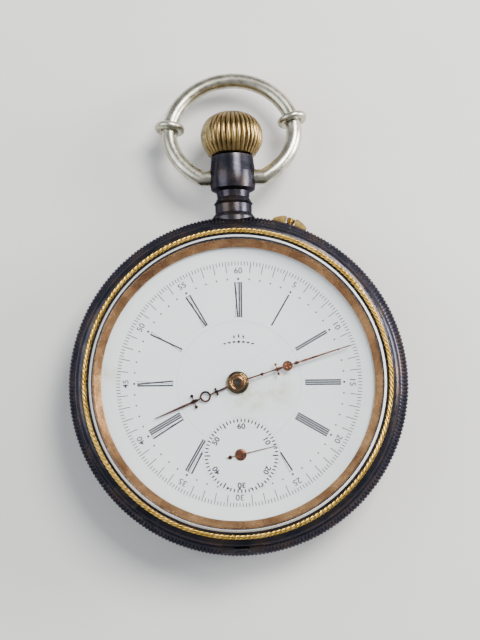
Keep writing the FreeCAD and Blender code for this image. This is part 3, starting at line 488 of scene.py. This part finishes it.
def ink(name, colour):
    """Fired ink on the dial, a little thin in places."""
    s = Surface(name, 0.0, 0.35)
    light = tuple(min(1.0, c * 1.5 + 0.02) for c in colour)
    s.colour(s.ramp(s.noise(0.4, 4.0), [(0.35, colour), (0.65, light)]))
    s.rough(s.spread(s.noise(0.5, 3.0), 0.25, 0.4))
    return s.material


def ruby():
    """Synthetic ruby of a bearing jewel."""
    s = Surface("ruby", 0.0, 0.08)
    s.colour(s.ramp(s.noise(0.6, 3.0), [(0.3, (0.45, 0.01, 0.05)), (0.7, (0.7, 0.03, 0.12))]))
    s.rough(s.spread(s.noise(0.3, 3.0), 0.05, 0.12))
    s.shader.inputs["Coat Weight"].default_value = 1.0
    s.shader.inputs["Coat Roughness"].default_value = 0.03
    return s.material


def striped_nickel():
    """Nickel plate with fine straight stripes ground across it."""
    s = Surface("striped_nickel", 1.0)
    wave = s.nodes.new("ShaderNodeTexWave")
    wave.bands_direction = "DIAGONAL"
    wave.inputs["Scale"].default_value = 1 / (9.0 * MM)
    wave.inputs["Distortion"].default_value = 0.15
    s.links.new(s.place, wave.inputs["Vector"])
    s.colour(s.ramp(s.noise(4.0, 4.0), [(0.3, (0.5, 0.49, 0.45)), (0.7, (0.62, 0.6, 0.55))]))
    s.rough(s.spread(wave.outputs["Fac"], 0.26, 0.42, 0.0, 1.0))
    s.bump(s.noise(0.12, 3.0, stretch=(1.0, 0.15, 1.0)), 0.4, 0.003)
    return s.material


GUNMETAL = gunmetal()
ENAMEL = enamel()
NUMERAL_INK = ink("numeral_ink", (0.008, 0.011, 0.02))
TRACK_INK = ink("track_ink", (0.02, 0.026, 0.04))
FAINT_INK = ink("faint_ink", (0.42, 0.46, 0.5))
ROPE_BRASS_PAINTED_SHADE = rope_brass()
CROWN_BRASS = ribbed_brass()
GUARD_BRASS = metal("guard_brass", ((0.17, 0.11, 0.035), (0.4, 0.27, 0.09)), (0.24, 0.36), 1.5,
                    grain=0.6, depth=0.001)
INNER_COPPER = metal("inner_copper", ((0.29, 0.135, 0.05), (0.6, 0.33, 0.14)), (0.2, 0.32),
                     3.5)
MINUTE_COPPER = metal("minute_copper", ((0.1, 0.035, 0.018), (0.4, 0.15, 0.075)), (0.24, 0.4),
                      0.9, depth=0.001)
HOUR_COPPER = metal("hour_copper", ((0.035, 0.018, 0.016), (0.24, 0.095, 0.06)), (0.24, 0.4),
                    0.9, depth=0.001)
# its groove colour is painted shade in the hub's hollows
HUB_COPPER = metal("hub_copper", ((0.16, 0.08, 0.03), (0.46, 0.22, 0.09)), (0.18, 0.3), 1.4,
                   depth=0.001, groove=(0.03, 0.015, 0.006))
HUB_DARK = metal("hub_dark", ((0.05, 0.04, 0.015), (0.2, 0.13, 0.05)), (0.2, 0.32), 1.0,
                 depth=0.001)
NICKEL = metal("bow_nickel", ((0.38, 0.365, 0.29), (0.62, 0.6, 0.49)), (0.24, 0.38), 2.2,
               grain=0.3)
DARK_STEEL = metal("dark_steel", ((0.03, 0.028, 0.025), (0.09, 0.08, 0.07)), (0.3, 0.5), 0.6)
STEEL = metal("polished_steel", ((0.42, 0.42, 0.43), (0.6, 0.6, 0.61)), (0.14, 0.28), 1.2)
BLUED = metal("blued_steel", ((0.03, 0.05, 0.16), (0.06, 0.1, 0.3)), (0.16, 0.28), 0.8)
GILT = metal("gilt_brass", ((0.6, 0.44, 0.18), (0.8, 0.62, 0.3)), (0.26, 0.4), 1.2)
RUBY = ruby()
STRIPED = striped_nickel()
CRYSTAL_GLASS = crystal_glass()
BEVEL_FROST_AND_REFLECTION = bevel_glass()

CAD_FINISH = {
    STEEL: ("bezel_hinge_pin", "back_hinge_pin", "stem", "winding_pinion", "sliding_pinion",
            "setting_lever", "crown_wheel", "ratchet_wheel", "barrel_arbor", "click",
            "third_pinion", "fourth_pinion", "escape_pinion", "escape_wheel",
            "pallet_fork", "balance_staff", "regulator", "hairspring_stud", "impulse_roller"),
    BLUED: ("bridge_screws", "hairspring", "mainspring"),
    GILT: ("barrel_drum", "barrel_lid", "centre_wheel", "third_wheel", "fourth_wheel",
           "balance_wheel", "minute_wheel", "hour_wheel", "setting_wheel"),
    STRIPED: ("main_plate", "barrel_bridge", "train_bridge", "balance_cock", "pallet_bridge"),
    RUBY: ("jewels", "pallet_stones"),
    GUNMETAL: ("pendant", "back_cover", "dust_cover", "bezel"),
    NICKEL: ("bow",),
    INNER_COPPER: ("reflector_ring",),
    GUARD_BRASS: ("set_pin_guard", "set_pin"),
    CRYSTAL_GLASS: ("crystal",),
    HUB_DARK: ("cannon_pinion",),
    DARK_STEEL: ("centre_pinion",),
}
for finish, names in CAD_FINISH.items():
    for node_name in names:
        node = frame["nodes"][node_name]
        node.data.materials.clear()
        node.data.materials.append(finish)


# ---- case -----------------------------------------------------------------------

NOTCHES = 280
NOTCH_DEPTH = 0.19
CASE_RADIUS = 25.0
WIDEST_Z = 6.6           # where the band is widest
BAND_TOP = 10.3
BORE_LOW, BORE_HIGH = 20.3, 21.0     # radii of the band's bore, below and round the plate
PLATE_LOW = 6.9
BAND_LOW = 3.4
KNUCKLE_RADIUS = 0.45
KNUCKLE_LINK = 0.8       # how far a knuckle's flat reaches into the band


def milled_band():
    """Case band with the coin edge milled round it."""
    widest = (CASE_RADIUS, WIDEST_Z)
    outer = [(CASE_RADIUS - 1.1, BAND_LOW), (CASE_RADIUS - 0.7, BAND_LOW + 0.35),
             (CASE_RADIUS - 0.25, BAND_LOW + 1.1)]
    outer += arc_points(outer[-1], (CASE_RADIUS - 0.05, BAND_LOW + 2.0), widest, 6)
    outer += arc_points(widest, (CASE_RADIUS - 0.28, 8.8), (CASE_RADIUS - 1.4, BAND_TOP), 12)
    inner = [(BORE_HIGH, BAND_TOP), (BORE_HIGH, PLATE_LOW), (BORE_LOW, PLATE_LOW),
             (BORE_LOW, BAND_LOW)]
    profile = outer + inner
    milled_from, milled_to = BAND_LOW + 0.9, BAND_TOP - 0.15

    guard = np.array([v.co for v in frame["nodes"]["set_pin_guard"].data.vertices])
    plain = np.arctan2(guard[:, 1], guard[:, 0])
    plain_from, plain_to = float(plain.min()), float(plain.max())

    def shape(angle, radius, z, index):
        if index >= len(outer) or not milled_from < z < milled_to:
            return radius
        if plain_from < angle < plain_to:
            return radius
        edge = min(z - milled_from, milled_to - z) / 0.5
        groove = 1 - abs(math.sin(NOTCHES * angle / 2)) ** 0.8
        return radius - NOTCH_DEPTH * min(1.0, edge) * groove

    points, faces = lathe(profile, NOTCHES * 8, shape=shape)
    return new_object("case_band_milled", points, faces)


def knuckles(name, hinge, spans, flat_from):
    """Hinge knuckles of the band along X, with the flats that join them to it.

    flat_from is where the flat starts, above or below the hinge's axis.
    """
    at = Vector(joint(hinge)["pos_m"]) / MM
    sides = 24
    parts = []
    for start, end in spans:
        rim = [polar(KNUCKLE_RADIUS, 360 * k / sides) for k in range(sides)]
        ring_points = [(x, at.y + y, at.z + z) for x in (start, end) for y, z in rim]
        faces = [tuple(range(sides - 1, -1, -1)), tuple(range(sides, 2 * sides))]
        faces += [(k, (k + 1) % sides, sides + (k + 1) % sides, sides + k)
                  for k in range(sides)]
        parts.append((ring_points, faces))
        reach = at.y + KNUCKLE_LINK
        parts.append(prism([(start, at.y), (end, at.y), (end, reach), (start, reach)],
                           at.z + flat_from, at.z + flat_from + KNUCKLE_RADIUS))
    piece = flat_shaded(new_object(name, *gather(parts)))
    put(piece, "case", GUNMETAL)


put(flat_shaded(milled_band(), 60), "case", GUNMETAL, ["case_band"])
knuckles("band_knuckle_front", "bezel_open", [(-1.0, 1.0)], -KNUCKLE_RADIUS)
knuckles("band_knuckles_back", "back_cover_open", [(-4.5, -3.05), (3.05, 4.5)], 0.0)


# ---- rope ring and crystal edge ----------------------------------------------------

STRANDS = 4
ROPE_TURNS = 47
STRAND_SHARE = 0.42      # a strand's radius, as a share of the rope's


def rope_ring():
    """Strands twisted round each other into a closed ring, with how deep each point lies."""
    low, high = corners("rope_ring")
    wire = (high.z - low.z) / 2
    middle = (low.z + high.z) / 2
    radius = high.x - wire
    strand = wire * STRAND_SHARE
    offset = wire - strand
    rows, columns = ROPE_TURNS * 32, 32
    points, depths = [], []
    for i in range(rows):
        around = 2 * math.pi * i / rows
        for j in range(columns):
            angle = 2 * math.pi * j / columns
            local = (angle - ROPE_TURNS * around) % (2 * math.pi / STRANDS) - math.pi / STRANDS
            reach = offset * math.cos(local) + math.sqrt(
                strand ** 2 - (offset * math.sin(local)) ** 2)
            depths.append(1 - reach / wire)
            out = radius + reach * math.cos(angle)
            points.append((out * math.cos(around), out * math.sin(around),
                           middle + reach * math.sin(angle)))
    rope = new_object("rope_ring_twisted", points, grid_faces(rows, columns, True, True))
    # the depths feed the painted shade between the strands
    rope.data.attributes.new("groove", "FLOAT", "POINT").data.foreach_set("value", depths)
    return rope


put(rope_ring(), "bezel", ROPE_BRASS_PAINTED_SHADE, ["rope_ring"])


def crystal_edge():
    """The crystal's bevel, drawn as a pale ring of painted reflection and frosted glass."""
    high = corners("crystal")[1]
    outer, top = high.x, high.z
    profile = [(outer - 0.01, top - 0.62), (outer + 0.01, top - 0.58), (outer - 0.29, top + 0.015),
               (outer - 0.34, top + 0.015), (outer - 0.34, top - 0.04)]
    return new_object("crystal_bevel", *lathe(profile, 360))


put(flat_shaded(crystal_edge()), "bezel", BEVEL_FROST_AND_REFLECTION)


# ---- crown ---------------------------------------------------------------------------

CROWN_NECK = 1.6         # radius and length of the neck under the ball
RIB_DEPTH = 0.27
WORN_SIDE = 195.0        # degrees round the stem, where the ribs are rubbed down


def crown():
    """Ball crown with ribs from top to foot, rubbed nearly smooth on one side."""
    low, high = corners("crown")
    radius = high.x
    foot, top = low.y + CROWN_NECK, high.y
    waist = [(0.6, foot - 1.55), (CROWN_NECK, foot - 1.55), (CROWN_NECK, foot)]
    body = [(3.35, foot), (3.62, foot + 0.15)]
    ball = arc_points((3.7, foot + 0.4), (radius, foot + 3.35), (3.75, top - 1.15), 26)
    cap = arc_points((3.75, top - 1.15), (2.4, top - 0.28), (0.35, top), 14)
    profile = waist + body + ball + cap
    ribbed_from = len(waist)

    def shape(angle, r, y, index):
        if index < ribbed_from:
            return r
        span = (y - foot) / (top - foot)
        deep = RIB_DEPTH * min(1.0, span * 7.0) * min(1.0, r / 1.6)
        worn = 0.5 + 0.5 * math.cos(angle - math.radians(WORN_SIDE))
        worn = max(0.0, min(1.0, (worn - 0.8) / 0.15))
        rib = abs(math.sin(RIBS * angle / 2)) ** 0.8
        return r - deep * (1 - 0.85 * worn) * (1 - rib)

    steps = RIBS * 12
    points, faces = lathe(profile, steps, closed=False, shape=shape)
    columns = len(profile)
    faces.append(tuple(k * columns + columns - 1 for k in range(steps)))
    faces.append(tuple(k * columns for k in range(steps - 1, -1, -1)))
    points = [(x, along, STEM_Z - y) for x, y, along in points]
    return new_object("crown_ribbed", points, faces)


put(flat_shaded(crown(), 50), "crown", CROWN_BRASS, ["crown"])


# ---- bow collars -----------------------------------------------------------------------

COLLAR_OUTER, COLLAR_INNER = 2.3, 1.1
COLLAR_HALF = 0.55       # half of a collar's thickness


def collars():
    """Rounded ring collars on the bow, where the CAD collars are."""
    cad = frame["nodes"]["bow_collars"]
    points = np.array([v.co for v in cad.data.vertices]) / MM
    section, middle_radius = (COLLAR_OUTER - COLLAR_INNER) / 2, (COLLAR_OUTER + COLLAR_INNER) / 2
    sides = 20
    profile = []
    for k in range(sides):
        a = 2 * math.pi * k / sides
        profile.append((middle_radius + section * math.cos(a),
                        COLLAR_HALF * math.copysign(abs(math.sin(a)) ** 0.8, math.sin(a))))
    parts = []
    for side in (-1, 1):
        mine = points[points[:, 0] * side > 0]
        middle = (mine.min(0) + mine.max(0)) / 2
        spread = np.linalg.svd(mine - mine.mean(0), full_matrices=False)[2]
        turn = Vector((0, 0, 1)).rotation_difference(Vector(spread[2])).to_matrix()
        ring_points, faces = lathe(profile, 72)
        parts.append(([tuple(turn @ Vector(p) + Vector(middle)) for p in ring_points], faces))
    return new_object("bow_collars_round", *gather(parts))


put(collars(), "bow", NICKEL, ["bow_collars"])


# ---- dial --------------------------------------------------------------------------------

INK_TOP = DIAL_TOP + 0.012
INK_LOW = DIAL_TOP - 0.01
DIAL_HOLE = 1.15
MINUTE_OUTER = 17.86     # radii of the minute track
MINUTE_INNER, QUARTER_INNER = 16.2, 17.26
MINUTE_DOTS = 15.25
MINUTE_FIGURES = 16.45
SECONDS_OUTER = 5.33     # radii of the seconds track
SECONDS_INNER, SECONDS_LONG = 4.83, 4.5
SECONDS_FIGURES = 4.2
SECONDS_RIM = 5.6
INNER_CIRCLE = 9.05      # hairline inside the Roman numerals


def clock(radius, minutes, centre=PRINT_AT):
    """Point on the dial at a reading of sixty to the turn."""
    x, y = polar(radius, 90 + DIAL_TURN - 6 * minutes)
    return x + centre[0], y + centre[1]


def dial_plate():
    """Enamel disc with a rounded edge and a hole for the arbor of the hands."""
    low, high = corners("dial")
    radius = high.x
    profile = [(DIAL_HOLE, low.z), (radius - 0.02, low.z), (radius, low.z + 0.3)]
    profile += arc_points((radius, high.z - 0.35), (radius - 0.15, high.z - 0.08),
                          (radius - 0.6, high.z), 6)
    profile += [(radius * share, high.z) for share in (0.9, 0.75, 0.6, 0.45, 0.3, 0.15)]
    profile += [(DIAL_HOLE + 0.1, high.z), (DIAL_HOLE, high.z - 0.08)]
    return new_object("dial_enamel", *lathe(profile, 240))


def tick(inner, outer, width, reading, centre=PRINT_AT):
    """One radial mark."""
    return bar(clock(inner, reading, centre), clock(outer, reading, centre), width,
               INK_LOW, INK_TOP)


def minute_track():
    """Quarter minute marks, minute marks, and dots inside them."""
    parts = []
    for quarter in range(240):
        minute = quarter / 4
        long_mark = quarter % 4 == 0 and quarter % 20 != 0
        inner = MINUTE_INNER if long_mark else QUARTER_INNER
        parts.append(tick(inner, MINUTE_OUTER, 0.115, minute))
        if quarter % 4 == 0:
            hour_mark = quarter % 20 == 0
            parts.append(disc(clock(MINUTE_DOTS, minute), 0.17 if hour_mark else 0.13,
                              INK_LOW, INK_TOP, 12))
    return parts


def seconds_track():
    """Marks of the seconds dial."""
    parts = []
    for second in range(60):
        inner = SECONDS_LONG if second % 10 == 5 else SECONDS_INNER
        parts.append(tick(inner, SECONDS_OUTER, 0.19, second, SECONDS_PRINT_AT))
    return parts


def numeral(text, height, at, turn, width_share, weight):
    """Flat figures on the dial, as points and faces."""
    curve = bpy.data.curves.new("figure", "FONT")
    curve.body = text
    curve.align_x = "CENTER"
    curve.align_y = "CENTER"
    curve.size = height * 1.38
    curve.extrude = (INK_TOP - INK_LOW) / 2
    curve.offset = weight
    curve.resolution_u = 4
    holder = bpy.data.objects.new("figure", curve)
    bpy.context.scene.collection.objects.link(holder)
    mesh = bpy.data.meshes.new_from_object(holder)
    c, s = math.cos(math.radians(turn)), math.sin(math.radians(turn))
    points = []
    for vertex in mesh.vertices:
        x, y, z = vertex.co
        x *= width_share
        points.append((x * c - y * s + at[0], x * s + y * c + at[1],
                       z + (INK_TOP + INK_LOW) / 2))
    faces = [tuple(p.vertices) for p in mesh.polygons]
    bpy.data.objects.remove(holder)
    bpy.data.curves.remove(curve)
    bpy.data.meshes.remove(mesh)
    return points, faces


def figures(every, height, radius, centre, width_share, weight):
    """Arabic figures round a track, their feet to its centre."""
    return [numeral(str(reading), height, clock(radius, reading, centre),
                    DIAL_TURN - 6 * reading, width_share, weight)
            for reading in range(every, 60 + every, every)]


ROMAN = ("I", "II", "III", "IIII", "V", "VI", "VII", "VIII", "IX", "X", "XI", "XII")
LETTER_WIDTH = {"I": 0.3, "V": 0.62, "X": 0.58}
ROMAN_INNER, ROMAN_OUTER = 9.63, 14.75
ROMAN_CLEAR = SECONDS_OUTER + 0.3    # how near a stroke comes to the middle of the seconds dial
THICK, THIN, SERIF = 0.23, 0.06, 0.06


def roman(hour, text):
    """A long radial Roman numeral, its foot to the centre, clear of the seconds dial."""
    widths = [LETTER_WIDTH[letter] for letter in text]
    edge = sum(widths) / 2
    strokes = []
    x = -edge
    for letter, width in zip(text, widths):
        middle = x + width / 2
        half = width / 2 - 0.1
        if letter == "I":
            strokes.append((middle, middle, THICK))
        elif letter == "V":
            strokes.append((middle - half, middle, THICK))
            strokes.append((middle + half, middle, THIN))
        else:
            strokes.append((middle - half, middle + half, THICK))
            strokes.append((middle + half, middle - half, THIN))
        x += width
    turn = DIAL_TURN + 90 - 30 * hour
    parts = []

    def place(across, along):
        px, py = polar(1.0, turn)
        return (px * along + py * across + PRINT_AT[0], py * along - px * across + PRINT_AT[1])

    def along_stroke(top, foot, along):
        share = (along - ROMAN_INNER) / (ROMAN_OUTER - ROMAN_INNER)
        return Vector(place(foot + (top - foot) * share, along))

    for top, foot, width in strokes:
        inner = ROMAN_INNER
        while (along_stroke(top, foot, inner) - Vector(SECONDS_PRINT_AT)).length <= ROMAN_CLEAR:
            inner += 0.05
        if inner < ROMAN_OUTER - 0.3:
            parts.append(bar(along_stroke(top, foot, inner), place(top, ROMAN_OUTER), width,
                             INK_LOW, INK_TOP))
    parts.append(bar(place(-edge, ROMAN_OUTER), place(edge, ROMAN_OUTER), SERIF,
                     INK_LOW, INK_TOP))
    if hour not in (5, 7):
        parts.append(bar(place(-edge, ROMAN_INNER), place(edge, ROMAN_INNER), SERIF,
                         INK_LOW, INK_TOP))
    return parts


def lozenge(at, along, across, length, width):
    """Small four-cornered leaf."""
    outline = [at + along * length / 2, at + across * width / 2, at - along * length / 2,
               at - across * width / 2]
    return prism([tuple(p) for p in outline], INK_LOW, INK_TOP)


LEAF_PITCH = 0.68
ORNAMENT_UP = 6.0        # above the middle of the dial


def ornament():
    """A small plain figure of leaves under the twelve."""
    parts = []
    right = Vector(polar(1.0, DIAL_TURN))
    up = Vector(polar(1.0, DIAL_TURN + 90))
    middle = Vector(PRINT_AT) + up * ORNAMENT_UP
    for k in range(-3, 4):
        across = right * (LEAF_PITCH * k)
        parts.append(lozenge(middle + across - up * 0.03 * k * k, right, up, 0.6,
                             0.46 - 0.06 * abs(k)))
    for k in (-1, 0, 1):
        at = middle + right * (LEAF_PITCH * k) + up * (0.85 - 0.12 * abs(k))
        parts.append(lozenge(at, up, right, 0.8 - 0.14 * abs(k), 0.3))
    return parts


def faint_circles():
    """Hairline circle inside the numerals, and the edge of the seconds dial."""
    parts = []
    steps = 180
    for k in range(steps):
        a, b = (clock(INNER_CIRCLE, 60 * n / steps) for n in (k, k + 1))
        if (Vector(a) - Vector(SECONDS_PRINT_AT)).length > SECONDS_RIM:
            parts.append(bar(a, b, 0.06, INK_LOW, INK_TOP - 0.004))
    parts.append(hoop(SECONDS_PRINT_AT, SECONDS_RIM, SECONDS_RIM - 0.06, INK_LOW,
                      INK_TOP - 0.004, 96))
    return parts


put(flat_shaded(dial_plate()), "case", ENAMEL, ["dial"])
roman_parts = [part for hour, text in enumerate(ROMAN, 1) if text != "VI"
               for part in roman(hour, text)]
PRINTING = {
    "minute_track": (minute_track(), TRACK_INK),
    "seconds_track": (seconds_track(), NUMERAL_INK),
    "minute_figures": (figures(5, 0.88, MINUTE_FIGURES, PRINT_AT, 1.05, 0.012), TRACK_INK),
    "seconds_figures": (figures(10, 0.8, SECONDS_FIGURES, SECONDS_PRINT_AT, 1.1, 0.03),
                        NUMERAL_INK),
    "roman_numerals": (roman_parts, NUMERAL_INK),
    "dial_ornament": (ornament(), TRACK_INK),
    "faint_circles": (faint_circles(), FAINT_INK),
}
for name, (parts, colour) in PRINTING.items():
    put(new_object(name, *gather(parts), smooth=False), "case", colour)


# ---- hands ----------------------------------------------------------------------------------

def direction(node, centre=(0.0, 0.0)):
    """Angle in degrees and length of a hand, from its CAD node's farthest point."""
    points = np.array([v.co for v in frame["nodes"][node].data.vertices]) / MM
    offsets = points[:, :2] - np.array(centre)
    far = offsets[np.argmax(np.linalg.norm(offsets, axis=1))]
    return math.degrees(math.atan2(far[1], far[0])), float(np.linalg.norm(far))


def leaf(start, end, widest, at, tip, low, high, sides=10):
    """Blade that swells to its widest point and tapers to its tip."""
    upper = []
    for k in range(sides + 1):
        share = k / sides
        x = start + (end - start) * share
        if share < at:
            grow = math.sin(math.pi / 2 * share / at)
            w = tip + (widest - tip) * grow
        else:
            fall = (share - at) / (1 - at)
            w = widest + (tip - widest) * fall
        upper.append((x, w / 2))
    outline = upper + [(x, -y) for x, y in reversed(upper)]
    return prism(outline, low, high)


def crossbar(along, reach, width, ball, low, high, sides=16):
    """Bar across a hand, with a disc at each end."""
    parts = [bar((along, -reach), (along, reach), width, low, high)]
    return parts + [disc((along, side), ball, low, high, sides) for side in (reach, -reach)]


def hour_hand():
    """Hour hand: collet, cross, open ring, trefoil and blade."""
    low, high = corners("hour_hand")
    low_z, high_z = low.z + 0.05, high.z - 0.1
    angle, length = direction("hour_hand")
    flat = [bar((1.4, 0), (4.35, 0), 0.34, low_z, high_z, 0.2),
            *crossbar(3.35, 0.42, 0.2, 0.19, low_z, high_z),
            disc((3.35, 0), 0.27, low_z, high_z, 20),
            hoop((5.1, 0), 0.82, 0.54, low_z, high_z),
            bar((5.85, 0), (7.6, 0), 0.22, low_z, high_z, 0.3),
            *crossbar(6.9, 0.85, 0.17, 0.25, low_z, high_z, 18),
            leaf(6.2, 7.7, 0.62, 0.5, 0.2, low_z, high_z),
            leaf(7.3, length, 0.38, 0.16, 0.12, low_z, high_z)]
    blade = new_object("hour_hand_blade", *turned_parts(flat, angle))
    put(flat_shaded(bevelled(blade, 0.035)), "hour_wheel", HOUR_COPPER, ["hour_hand"])
    collet = lathe([(1.0, low.z), (1.6, low.z), (1.65, low.z + 0.08), (1.62, low.z + 0.2),
                    (1.4, high.z - 0.04), (1.15, high.z), (1.0, high.z)], 96)
    put(new_object("hour_hand_collet", *collet), "hour_wheel", HUB_DARK)


ROSETTE_AT = 7.6         # along the minute hand


def minute_hand():
    """Minute hand: collet, cross, rosette, fleur and slim blade."""
    low, high = corners("minute_hand")
    low_z, high_z = low.z + 0.05, high.z - 0.12
    angle, length = direction("minute_hand")
    flat = [bar((1.0, 0), (6.9, 0), 0.27, low_z, high_z, 0.17),
            disc((3.7, 0), 0.25, low_z, high_z, 18),
            *crossbar(6.0, 0.72, 0.15, 0.2, low_z, high_z),
            leaf(5.5, 7.0, 0.55, 0.45, 0.12, low_z, high_z),
            disc((ROSETTE_AT, 0), 0.74, low_z, high_z, 40),
            bar((8.2, 0), (9.3, 0), 0.16, low_z, high_z),
            leaf(8.5, 9.5, 0.55, 0.5, 0.1, low_z, high_z),
            leaf(9.2, length, 0.33, 0.12, 0.14, low_z, high_z)]
    for k in range(4):
        x, y = polar(0.36, 45 + 90 * k)
        flat.append(dome((ROSETTE_AT + x, y), 0.2, high_z - 0.01, high_z + 0.07, 12, 4))
    blade = new_object("minute_hand_blade", *turned_parts(flat, angle))
    put(flat_shaded(bevelled(blade, 0.03)), "centre_wheel", MINUTE_COPPER,
        ["minute_hand"])
    collet = lathe([(0.62, low.z), (1.12, low.z), (1.18, low.z + 0.06), (1.17, high.z - 0.08),
                    (1.1, high.z), (0.98, high.z - 0.02), (0.93, high.z - 0.1),
                    (0.84, high.z - 0.09), (0.74, high.z), (0.62, high.z)], 96)
    put(new_object("minute_hand_collet", *collet), "centre_wheel", HUB_COPPER)


def seconds_hand():
    """Seconds hand: domed collet, needle and a tail with a round weight."""
    low, high = corners("seconds_hand")
    centre = (SECONDS_AT.x, SECONDS_AT.y)
    angle, length = direction("seconds_hand", centre)
    flat = [bar((0.5, 0), (length, 0), 0.16, low.z, high.z, 0.07),
            bar((-2.1, 0), (-0.5, 0), 0.1, low.z, high.z, 0.16),
            disc((-1.55, 0), 0.3, low.z, high.z, 20),
            dome((0, 0), 0.86, low.z, high.z + 0.03, 36, 6)]
    hand = new_object("seconds_hand_needle", *turned_parts(flat, angle, centre))
    put(flat_shaded(hand), "fourth_wheel", MINUTE_COPPER, ["seconds_hand"])


hour_hand()
minute_hand()
seconds_hand()


# ---- stage, lights and camera -----------------------------------------------------------------

def stage():
    """Plain pale floor under the watch."""
    half = 400.0
    floor_corners = [(-half, -half, 0), (half, -half, 0), (half, half, 0), (-half, half, 0)]
    floor = new_object("floor", floor_corners, [(0, 1, 2, 3)], smooth=False)
    s = Surface("floor_paper", 0.0, 0.7)
    s.colour(s.ramp(s.noise(30.0, 2.0), [(0.3, (0.72, 0.71, 0.69)), (0.7, (0.75, 0.74, 0.72))]))
    floor.data.materials.append(s.material)


def area_light(name, place, target, size, power, colour=(1.0, 1.0, 1.0)):
    """Soft square light, places in millimetres."""
    lamp = bpy.data.lights.new(name, "AREA")
    lamp.size = size * MM
    lamp.energy = power
    lamp.color = colour
    obj = bpy.data.objects.new(name, lamp)
    obj.location = Vector(place) * MM
    aim = Vector(target) - Vector(place)
    obj.rotation_euler = aim.to_track_quat("-Z", "Y").to_euler()
    bpy.context.scene.collection.objects.link(obj)


CAMERA_AT = (4.08, -12.8, 196.8)
CAMERA_AIM = (0.52, 9.5, 7.0)
CAMERA_ROLL = 1.6        # degrees the pendant leans to the left in the picture
CAMERA_LENS = 72.45


def camera():
    """Camera almost straight above the watch."""
    data = bpy.data.cameras.new("camera")
    data.lens = CAMERA_LENS
    data.sensor_width = 36.0
    data.clip_start = 0.01
    obj = bpy.data.objects.new("camera", data)
    place, aim = Vector(CAMERA_AT), Vector(CAMERA_AIM)
    forward = (aim - place).normalized()
    up = Vector((0, 1, 0)) - forward * forward.y
    up = Matrix.Rotation(math.radians(-CAMERA_ROLL), 3, Vector((0, 0, 1))) @ up.normalized()
    up = (up - forward * up.dot(forward)).normalized()
    right = forward.cross(up)
    rotation = Matrix((right, up, -forward)).transposed()
    obj.matrix_world = Matrix.Translation(place * MM) @ rotation.to_4x4()
    bpy.context.scene.collection.objects.link(obj)
    bpy.context.scene.camera = obj


def world_light():
    """Pale even surroundings."""
    world = bpy.data.worlds.new("surroundings")
    world.use_nodes = True
    background = world.node_tree.nodes["Background"]
    background.inputs["Color"].default_value = (0.9, 0.94, 1.0, 1.0)
    background.inputs["Strength"].default_value = 0.35
    bpy.context.scene.world = world


stage()
area_light("key", (160, 190, 330), (0, 0, 5), 160, 2.5, (1.0, 0.98, 0.95))
area_light("fill", (-260, 40, 220), (0, 0, 5), 240, 0.7, (0.9, 0.95, 1.0))
area_light("low_rim", (260, 60, 90), (0, 0, 6), 120, 1.2)
camera()
world_light()
